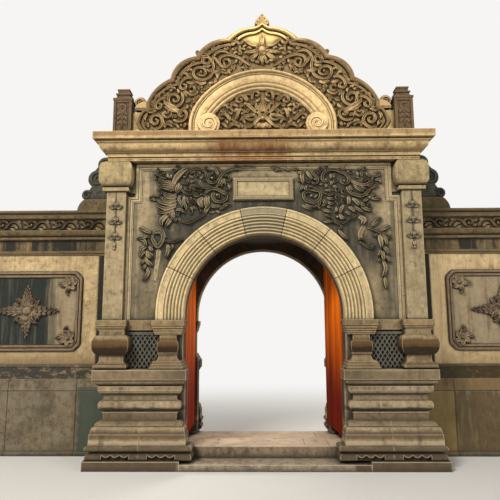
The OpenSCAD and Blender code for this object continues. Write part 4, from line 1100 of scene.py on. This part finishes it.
# %% The drawing of the left side
left_garland = {
    "band": (
        (12, -1312, 3459, -1351, 3464, -1361, 3434, -1335, 3402),
        (13, -982, 3432, -944, 3502, -866, 3542, -790, 3538, -731, 3502, -705, 3446, -720, 3400, -754,
         3403), (11, -946, 3409, -946, 3370, -983, 3351, -1023, 3370),
        (10, -1035, 3292, -996, 3248, -943, 3219, -883, 3212, -820, 3229, -773, 3248),
        (9, -905, 3339, -882, 3294, -831, 3265, -758, 3261),
        (8, -882, 3348, -851, 3311, -798, 3289, -735, 3288),
        (14, -797, 3403, -782, 3347, -738, 3306, -675, 3284, -610, 3298),
        (16, -611, 3497, -672, 3469, -693, 3413, -665, 3363, -610, 3358, -581, 3391),
        (17, -581, 3313, -548, 3410, -498, 3479, -425, 3524, -339, 3545, -257, 3557, -173, 3563, -89, 3554),
        (10, -360, 3560, -339, 3577, -309, 3566, -305, 3538, -332, 3532),
        (12, -492, 3453, -437, 3454, -418, 3420, -435, 3390, -466, 3401),
        (18, -726, 3226, -670, 3273, -591, 3279, -528, 3248, -484, 3218, -432, 3220),
        (18, -610, 3244, -628, 3195, -609, 3142, -557, 3112, -496, 3122, -457, 3162, -451, 3203),
        (9, -549, 3229, -551, 3184, -588, 3163, -607, 3187),
        (12, -1063, 2932, -1034, 2890, -981, 2860, -919, 2853, -868, 2880, -814, 2910, -754, 2943, -711,
         2964), (10, -1033, 2996, -1064, 2964, -1045, 2932),
        (22, -1369, 2705, -1343, 2734, -1277, 2740, -1239, 2700, -1242, 2639, -1273, 2577, -1301, 2554,
         -1335, 2594, -1368, 2652, -1369, 2705), (10, -1400, 2703, -1411, 2640, -1378, 2577, -1336, 2546),
        (10, -1246, 2641, -1192, 2620, -1130, 2609, -1081, 2628, -996, 2650),
    ),
    "frond": (
        (15, -1104, 3338, -1178, 3365, -1263, 3376, -1326, 3409),
        (13, -1094, 3321, -1178, 3341, -1262, 3350, -1334, 3383),
        (14, -1095, 3306, -1177, 3317, -1251, 3318, -1306, 3342, -1336, 3373),
        (16, -1093, 3292, -1156, 3289, -1221, 3290, -1295, 3308),
        (13, -1091, 3297, -1134, 3268, -1199, 3255),
        (30, -1123, 3328, -1099, 3405, -1046, 3472, -984, 3522, -914, 3549),
        (18, -1052, 3360, -1074, 3297, -1088, 3224), (14, -1029, 3340, -1038, 3284, -1073, 3231),
        (12, -883, 3210, -820, 3192, -755, 3222), (16, -519, 3431, -539, 3369, -566, 3300),
        (14, -517, 3427, -516, 3366, -531, 3300), (14, -504, 3420, -485, 3368, -474, 3321),
        (13, -579, 3347, -575, 3324, -560, 3298), (14, -559, 3449, -582, 3508, -614, 3554),
        (12, -519, 3496, -549, 3540, -591, 3560), (12, -439, 3336, -424, 3293, -470, 3263),
        (16, -674, 3185, -686, 3121, -662, 3057), (15, -663, 3099, -629, 3057, -564, 3035),
        (14, -608, 3078, -556, 3056, -513, 3071), (14, -517, 3098, -465, 3075, -411, 3102),
        (14, -548, 3016, -506, 3045, -461, 3058), (28, -747, 3175, -788, 3122, -753, 3034),
        (18, -713, 3185, -717, 3100, -683, 3015), (22, -724, 2975, -705, 3017, -662, 3059),
        (16, -987, 3198, -986, 3123, -964, 3059, -946, 2993),
        (14, -1039, 3198, -1049, 3145, -1016, 3091, -994, 3025), (10, -964, 3189, -942, 3125, -920, 3080),
        (14, -1111, 2922, -1085, 2890, -1100, 2869), (14, -1088, 3017, -1023, 3015, -971, 2974),
        (14, -1102, 2977, -1128, 2924, -1096, 2882),
        (18, -1081, 3188, -1132, 3167, -1195, 3180, -1251, 3230),
        (14, -1079, 3218, -1133, 3203, -1196, 3214, -1236, 3240),
        (17, -1078, 3145, -1132, 3124, -1194, 3124, -1247, 3157, -1271, 3189),
        (18, -1077, 3102, -1131, 3081, -1214, 3093, -1288, 3114, -1333, 3160),
        (12, -1328, 3136, -1372, 3154, -1427, 3167), (9, -1298, 3200, -1361, 3186, -1427, 3169),
        (20, -1087, 3070, -1151, 3039, -1223, 3031, -1297, 3061, -1331, 3087),
        (18, -1107, 3017, -1171, 2997, -1254, 2982, -1319, 3000),
        (16, -1117, 2992, -1149, 2956, -1169, 2925),
        (26, -1168, 2965, -1221, 2923, -1261, 2860, -1248, 2807),
        (22, -1147, 2933, -1168, 2870, -1208, 2802), (20, -1209, 2954, -1249, 2891, -1290, 2839),
        (18, -1127, 3007, -1115, 2933, -1147, 2878), (16, -1392, 2724, -1466, 2758, -1541, 2792),
        (14, -1402, 2703, -1474, 2672, -1566, 2652), (12, -1433, 2766, -1407, 2734, -1392, 2705),
        (14, -1203, 2660, -1225, 2704, -1247, 2765), (12, -1142, 2599, -1120, 2555, -1160, 2506),
        (20, -1181, 2587, -1169, 2514, -1200, 2411), (16, -1438, 2557, -1480, 2536, -1511, 2474),
        (16, -1417, 2567, -1385, 2536, -1354, 2494), (18, -1436, 2505, -1414, 2443, -1362, 2412),
        (14, -1436, 2495, -1394, 2463, -1342, 2432), (16, -1446, 2495, -1489, 2474, -1514, 2423),
        (18, -1444, 2433, -1422, 2371, -1349, 2319), (14, -1454, 2402, -1483, 2361, -1505, 2330),
        (14, -1442, 2350, -1461, 2299, -1495, 2278),
        (16, -1441, 2299, -1409, 2247, -1429, 2186, -1479, 2135),
        (16, -1523, 2662, -1460, 2620, -1438, 2557),
    ),
    "strip": (
        (26, -1293, 2535, -1298, 2411, -1316, 2288, -1326, 2135),
    ),
    "knob": (
        (15, -986, 3433), (20, -642, 3417), (22, -576, 3197),
    ),
}
tally("the left garland", left_garland)

# %% The drawing of the right side
right_garland = {
    "band": (
        (15, 804, 3378, 762, 3367, 734, 3411, 755, 3475, 818, 3514, 891, 3515, 964, 3487, 1027, 3452, 1065,
         3400, 1053, 3352, 1011, 3333, 972, 3355, 973, 3387),
        (17, 1033, 3312, 1072, 3228, 1133, 3193, 1204, 3174, 1267, 3203, 1332, 3277),
        (12, 744, 2952, 795, 2931, 846, 2909, 885, 2848, 946, 2831, 1008, 2856, 1061, 2898, 1134, 2939),
        (17, 585, 3261, 666, 3250, 711, 3218, 697, 3143, 644, 3101, 572, 3102, 511, 3145, 501, 3209, 543,
         3234, 595, 3219), (12, 555, 3315, 638, 3293, 710, 3261, 761, 3217, 822, 3198),
        (11, 432, 3424, 442, 3381, 474, 3391),
        (14, 591, 3509, 631, 3455, 672, 3411, 671, 3357, 629, 3336, 609, 3369),
        (14, 87, 3552, 150, 3554, 223, 3516),
        (13, 1272, 2781, 1333, 2760, 1403, 2728, 1453, 2707, 1512, 2655, 1562, 2636),
        (9, 1154, 2625, 1195, 2636, 1245, 2615),
        (10, 1164, 2605, 1204, 2584, 1253, 2542, 1303, 2527, 1366, 2562),
        (12, 905, 2815, 936, 2827, 955, 2795, 923, 2762),
    ),
    "frond": (
        (16, 1067, 3397, 1128, 3354, 1208, 3321, 1282, 3323, 1344, 3370, 1378, 3438),
        (14, 1127, 3343, 1157, 3289, 1205, 3246, 1269, 3237), (14, 1189, 3332, 1229, 3278, 1290, 3267),
        (13, 1259, 3321, 1313, 3310, 1366, 3352), (14, 1075, 3322, 1083, 3269, 1114, 3258),
        (14, 1370, 3438, 1422, 3438, 1464, 3470), (14, 1388, 3384, 1440, 3384, 1469, 3332),
        (10, 1429, 3427, 1441, 3461, 1453, 3496), (12, 1332, 3267, 1374, 3298, 1427, 3320),
        (12, 1234, 3428, 1221, 3472, 1237, 3498), (12, 1338, 3430, 1307, 3441, 1286, 3473),
        (10, 1379, 3419, 1401, 3451, 1423, 3481), (13, 1307, 3160, 1354, 3190, 1372, 3224),
        (13, 1307, 3156, 1389, 3138, 1463, 3140), (13, 1307, 3154, 1265, 3127, 1237, 3097),
        (13, 1305, 3167, 1277, 3195, 1268, 3218), (18, 1049, 3173, 1058, 3109, 1046, 3062),
        (18, 1100, 3151, 1150, 3108, 1179, 3044), (16, 1161, 3108, 1211, 3076, 1261, 3044),
        (18, 1200, 3065, 1260, 3012, 1342, 2990), (14, 1128, 3045, 1178, 3002, 1238, 2960),
        (16, 1055, 3045, 1106, 3003, 1125, 2960), (16, 994, 3067, 960, 3014, 948, 2951),
        (12, 1114, 2960, 1113, 2918, 1091, 2887), (12, 1010, 2984, 1040, 2963, 1072, 2925),
        (18, 939, 2951, 969, 2898, 1010, 2908), (13, 520, 3081, 571, 3049, 643, 3048),
        (13, 478, 3070, 539, 3028, 601, 3017), (12, 601, 3093, 641, 3050, 682, 3050),
        (12, 663, 3133, 674, 3069, 704, 3005), (13, 762, 3260, 813, 3249, 876, 3249),
        (14, 771, 3217, 822, 3198, 875, 3217), (13, 790, 3164, 831, 3144, 873, 3144),
        (13, 799, 3111, 830, 3079, 871, 3091), (12, 788, 3068, 808, 3036, 839, 3036),
        (14, 717, 3132, 746, 3113, 767, 3071), (12, 715, 3050, 745, 3071, 778, 3092),
        (14, 743, 2997, 794, 2986, 834, 2954), (14, 672, 3050, 694, 3092, 705, 3145),
        (20, 497, 3510, 484, 3413, 504, 3326), (16, 538, 3499, 579, 3444, 609, 3379),
        (14, 434, 3489, 475, 3480, 507, 3499), (14, 502, 3329, 480, 3286, 448, 3243),
        (13, 535, 3315, 521, 3275, 541, 3243), (14, 244, 3555, 296, 3533, 329, 3500),
        (12, 152, 3504, 192, 3536, 233, 3514), (12, 338, 3555, 382, 3533, 445, 3534),
        (14, 1324, 2791, 1377, 2854, 1453, 2908), (10, 1355, 2801, 1395, 2843, 1420, 2895),
        (16, 1414, 2738, 1486, 2769, 1553, 2802), (10, 1413, 2717, 1360, 2676, 1329, 2676),
        (13, 1433, 2717, 1503, 2686, 1563, 2665), (24, 1412, 2707, 1429, 2624, 1435, 2520),
        (18, 1442, 2686, 1490, 2624, 1497, 2551), (16, 1447, 2562, 1495, 2500, 1523, 2438),
        (14, 1434, 2500, 1412, 2459, 1387, 2428), (20, 1454, 2489, 1451, 2417, 1459, 2366),
        (14, 1482, 2438, 1522, 2376, 1499, 2356), (12, 1419, 2387, 1396, 2369, 1378, 2367),
        (18, 1449, 2376, 1475, 2274, 1431, 2173), (15, 1461, 2173, 1467, 2092, 1474, 2021),
        (26, 1175, 2918, 1235, 2875, 1202, 2811), (13, 741, 2847, 803, 2857, 865, 2857),
        (16, 923, 2762, 972, 2678, 1042, 2626),
    ),
    "strip": (
        (26, 1243, 2812, 1188, 2708, 1195, 2625),
    ),
    "knob": (
        (14, 775, 3387), (14, 1004, 3366), (16, 1311, 3156), (16, 907, 2911), (18, 594, 3182),
        (16, 644, 3390),
    ),
}
tally("the right garland", right_garland)

# %% Arch garland
garland = Relief()
garland.carve(left_garland)
garland.carve(right_garland)
garland.fill(11, (-1330, 2980), (-560, 3560))
garland.fill(12, (520, 2990), (1330, 3560), (40, 60))
garland.stand("arch_garland", wall_face, garland_stone, "ashlar")


# %% [markdown]
# ## Husk drops on the pilasters
# A cord hangs from under each capital with three bell-shaped husks and a bud, the oldest of
# border ornaments: it is three short leaves opening downwards, three times over.

# %% Pilaster drops
husk_x = 1813
drop = Relief()
drop.band(5, husk_x, 3215, husk_x + 2, 3100, husk_x - 3, 2900, husk_x, 2560, height=0.010)
for z in (3030, 2840, 2650):
    for side in (-1, 1):
        husk = (husk_x, z), (side, 0)
        drop.frond(12, *along(*husk, 0, 14, 30, -6, 58, -2, 84, 16, hand=side), height=0.026)
        drop.frond(11, *along(*husk, 6, 66, 26, 44, 30, 12, hand=side), height=0.024)
    drop.frond(13, husk_x, z + 70, husk_x, z + 24, husk_x, z - 24, height=0.032)
    drop.boss((husk_x / 1000, (z + 34) / 1000), 0.016, 0.034)
drop.frond(15, husk_x, 2600, husk_x, 2560, husk_x, 2530, height=0.028)
drop.boss((husk_x / 1000, 2.520), 0.019, 0.028)
drop.mirrored()
drop.stand("pilaster_drops", pilaster_face, shaft_stone, "ashlar")


# %% [markdown]
# ## Leaves on the corner posts
# The sunk panel of each post holds a curl at its head and pairs of leaves that hang under it like a
# fern's. They stand on the panel's ground, so they stay behind the post's own face.

# %% Post leaves
post_x, panel_depth = 1784, 0.020
fern = Relief()
curl = (40, 4368, 0, 4388, -42, 4350, -20, 4300, 22, 4306, 26, 4340, 0, 4344)
fern.band(13, *along((post_x, 0), (1, 0), *curl), height=0.010)
for z in (4270, 4205, 4140):
    for side in (-1, 1):
        fern.frond(14, *along((post_x, z), (side, 0), 0, 20, 34, 12, 66, -30, hand=side), height=0.010)
    fern.frond(12, post_x, z + 30, post_x, z, post_x, z - 40, height=0.011)
fern.band(7, post_x, 4296, post_x, 4060, height=0.010)
fern.mirrored()
fern.stand("post_leaves", post_face + panel_depth, post_stone, "dark_stone")


# %% [markdown]
# ## Flowers in the wing panels
# Each wall panel has a four-pointed spray in its middle and a flower in each corner. A spray's arm
# is five pairs of leaves, each pair smaller than the last.

# %% Wing panel carving
middle = np.array((panel_x, panel_z)) * 1000
panel = Relief()
for turn, reach in ((0, 400), (90, 300), (180, 400), (270, 330)):
    for pair in range(5):
        root = along(middle, way(turn), reach * (0.16 + 0.17 * pair), 0)
        size = 1.0 - 0.16 * pair
        for side in (-1, 1):
            leaf = (0, 0, 20, 44 * size, 58 * size + 22, 66 * size)
            panel.frond(24 * size, *along(root, way(turn), *leaf, hand=side), height=0.042)
        panel.frond(20 * size, *along(root, way(turn), 0, 0, 40, 0, 84, 0), height=0.040)
for turn in (45, 135, 225, 315):
    panel.band(13, *along(middle, way(turn), 50, 0, 120, 40, 165, 0, 130, -36, 104, 0))
    panel.frond(20, *along(middle, way(turn), 60, 0, 120, -50, 190, -40))
    panel.frond(16, *along(middle, way(turn), 70, 0, 150, 30, 215, 10))
panel.boss(middle / 1000, 0.062, 0.055)
for sx in (-1, 1):
    for sz in (-1, 1):
        corner = middle + (sx * 548, sz * 352)
        for turn in (20, 80, 140, 200, 260, 320):
            panel.frond(25, *along(corner, way(turn) * (sx, sz), 14, 0, 60, 14, 102, -6), height=0.040)
        panel.frond(17, *along(corner, (-sx, 0), 60, 0, 110, 20, 150, -10, hand=sx * sz))
        panel.band(11, *along(corner, (0, -sz), 60, 0, 110, 40, 150, 10, hand=-sx * sz))
        panel.boss(corner / 1000, 0.028, 0.050)
panel.mirrored()
panel.stand("panel_flowers", panel_face, flower_stone, "frame_stone")


# %% [markdown]
# ## The running scroll under the wall's coping
# The frieze repeats one wave: a band rises in an arch, winds round a flower that hangs in the next
# hollow, and sets off again. Its ground lies 56 mm behind the coping's edge.

# %% Wing frieze
frieze_start, wave = 2060, 378
frieze = Relief()
for i in range(5):
    at = (frieze_start + wave * i, 0), (1, 0)
    frieze.band(13, *along(*at, 0, 2868, 30, 2920, 80, 2958, 140, 2956, 186, 2922, 212, 2880, 250, 2862),
                height=0.036)
    frieze.band(11, *along(*at, 186, 2922, 216, 2962, 270, 2968, 304, 2936, 286, 2902, 254, 2912, 262, 2936),
                height=0.036)
    for half, height, leaf in ((15, 0.034, (60, 2872, 96, 2908, 150, 2906)),
                               (13, 0.030, (150, 2876, 120, 2862, 70, 2858)),
                               (14, 0.034, (304, 2930, 334, 2950, 366, 2964)),
                               (13, 0.034, (300, 2900, 330, 2886, 360, 2896)),
                               (12, 0.030, (20, 2960, 44, 2966, 70, 2974))):
        frieze.frond(half, *along(*at, *leaf), height=height)
frieze.mirrored()
frieze.stand("wall_frieze", coping_face + 0.056, frieze_relief, "wing_coping")


# %% [markdown]
# ## Mortar in the arch
# Between two arch stones there's a joint as wide as two coins. On the real arch it's full of lime
# mortar gone brown; left open, daylight would show through it. Each joint gets a thin plate that
# stops just short of the stones' faces, so the joint still reads as a fine dark groove.

# %% Mortar plates
half_joint = 0.0013
inner, outer, back, face = reveal + 0.006, 1.290, -0.506, -0.806
outline = [(inner, back), (inner, -0.756), (1.200, -0.796), (1.262, face), (outer, face), (outer, back)]
n = len(outline)
plate_points, plate_faces = [], []
for joint in range(1, arch_stones):
    turn = joint * stone_angle
    out = Vector((math.cos(turn), 0, math.sin(turn)))
    beside = Vector((-math.sin(turn), 0, math.cos(turn))) * half_joint
    first = len(plate_points)
    for shift in (-1, 1):
        plate_points += [out * r + beside * shift + Vector((0, y, spring)) for r, y in outline]
    plate_faces += [tuple(reversed(range(first, first + n))), tuple(range(first + n, first + 2 * n))]
    for k in range(n):
        after = (k + 1) % n
        plate_faces.append((first + after, first + n + after, first + n + k, first + k))
front_and_rear("mortar", solid("mortar", plate_points, plate_faces, mortar))


# %% [markdown]
# ## Plank doors
# Each leaf is seven planks under a rounded top, held together by three ledges across the back. The
# planks have shrunk, so there's a dark gap between each two, and a thin tongue deep in the gap keeps
# the daylight out. They're cut to the outline of the solid leaf they stand for and take its place.

# %% Planks, tongues and ledges
hang_x, hang_y, leaf_length, leaf_low, top_radius = 1.010, -0.462, 1.006, 0.230, 0.980
post_edge, half_gap, half_tongue, top_clearance = 0.0295, 0.002, 0.0025, 0.004
plank_depth, tongue_depth, ledge_depth = (-0.028, 0.006), (-0.016, -0.006), (0.0062, 0.028)
ledge_from, ledge_to, ledge_height = 0.05, 0.97, 0.13


def leaf_top(u):
    """Height of the leaf's rounded top at a distance from its pivot."""
    return spring + math.sqrt(max(0.0, top_radius ** 2 - (hang_x - u) ** 2))


timber_points, timber_faces = [], []


def timber(outline, depth):
    """Adds a flat piece: an outline across the leaf, as (distance, height), and its two faces' depths."""
    first, n = len(timber_points), len(outline)
    timber_points.extend((u, v, z) for v in depth for u, z in outline)
    timber_faces.append(tuple(range(first, first + n)))
    timber_faces.append(tuple(reversed(range(first + n, first + 2 * n))))
    for k in range(n):
        after = (k + 1) % n
        timber_faces.append((first + after, first + k, first + n + k, first + n + after))


planks_a_leaf = 7
edges = np.linspace(post_edge, leaf_length, planks_a_leaf + 1)
for start, end in zip(edges, edges[1:]):
    left, right = start + half_gap, end - (half_gap if end < leaf_length else 0)
    crown = [(u, leaf_top(u) - 0.001) for u in np.linspace(right, left, 7)]
    timber([(left, leaf_low), (right, leaf_low), *crown], plank_depth)
    if end < leaf_length:
        near, far, top = end - half_tongue, end + half_tongue, leaf_top(end) - top_clearance
        timber([(near, leaf_low), (far, leaf_low), (far, top), (near, top)], tongue_depth)
for low in (0.42, 1.10, 1.66):
    high = low + ledge_height
    timber([(ledge_from, low), (ledge_to, low), (ledge_to, high), (ledge_from, high)], ledge_depth)
print("timber of one leaf:", len(timber_faces), "faces")

# %% [markdown]
# ## Hanging the leaves
# Both leaves are the same timber, mirrored. The left one stands fully open in the picture and the
# right one five degrees short of it. Each rides its own door, so it swings with that door.

# %% Leaves
for name, side, swing in (("left_leaf", -1, 0.0), ("right_leaf", 1, math.radians(5))):
    place = [(side * v, u, z) for u, v, z in timber_points]
    faces = timber_faces if side < 0 else [face[::-1] for face in timber_faces]
    mesh = solid(name + "_planks", place, faces, door_paint)
    mesh.transform(Matrix.Translation((side * hang_x, hang_y, 0)) @ Matrix.Rotation(swing, 4, "Z"))
    planks = add(name + "_planks", mesh)
    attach(planks, name.replace("leaf", "door"))
    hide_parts(name)
    print(name, "hung", round(math.degrees(swing), 1), "degrees short of fully open")


# %% [markdown]
# ## Studio
# A pale floor runs out to a pale background and melts into it, so there's no horizon. Wide lamps and
# an even sky give a soft light from above and in front, enough to model the carving without hard
# shadows. The background is bright to look at but lights the gate only faintly.

# %% Floor and background
studio_white = (0.97, 0.96, 0.95, 1)
bright, faint, floor_half = 0.95, 0.36, 40
paint = Finish("pale_floor")
paint.plug(paint.shader.inputs["Base Color"], (0.66, 0.65, 0.63, 1))
paint.plug(paint.shader.inputs["Roughness"], 0.9)
far = paint.length(X=paint.x * 0.6, Y=paint.y + 1.0).rise(2.4, 9.0)
glow = paint.node("Emission", None, {"Color": studio_white, "Strength": bright})
blend = paint.node("MixShader", None,
                   {"Fac": paint.seen() * far, 1: Wire(paint, paint.shader.outputs["BSDF"]), 2: glow})
paint.plug(paint.tree.nodes["Material Output"].inputs["Surface"], blend)
corners = [(floor_half * x, floor_half * y, 0) for x, y in ((-1, -1), (1, -1), (1, 1), (-1, 1))]
floor = add("floor", solid("floor", corners, [(0, 1, 2, 3)], paint.material))

sky = bpy.data.worlds.new("studio")
bpy.context.scene.world = sky
sky.use_nodes = True
air = Network(sky.node_tree)
background = air.tree.nodes["Background"]
air.plug(background.inputs["Color"], studio_white)
air.plug(background.inputs["Strength"], faint + air.seen() * (bright - faint))
print("floor and background ready")


# %% Lamps
def lamp(name, place, target, size, power, colour):
    """A rectangular lamp at a place, turned to a target."""
    light = add(name, bpy.data.lights.new(name, "AREA"))
    light.data.shape = "RECTANGLE"
    light.data.size, light.data.size_y = size
    light.data.energy = power
    light.data.color = colour
    light.location = place
    light.rotation_euler = (Vector(target) - Vector(place)).to_track_quat("-Z", "Y").to_euler()


evening = (1.0, 0.95, 0.86)
lamp("key_lamp", (-5.5, -9.5, 9.5), (0, 0, 2.6), (4, 3), 1640, evening)
lamp("fill_lamp", (8.0, -9.0, 5.0), (0, 0, 2.4), (6, 6), 380, (1.0, 0.97, 0.93))
lamp("rear_lamp", (4.0, 10.5, 9.0), (0, 0, 2.6), (7, 6), 900, evening)
print("lamps set")
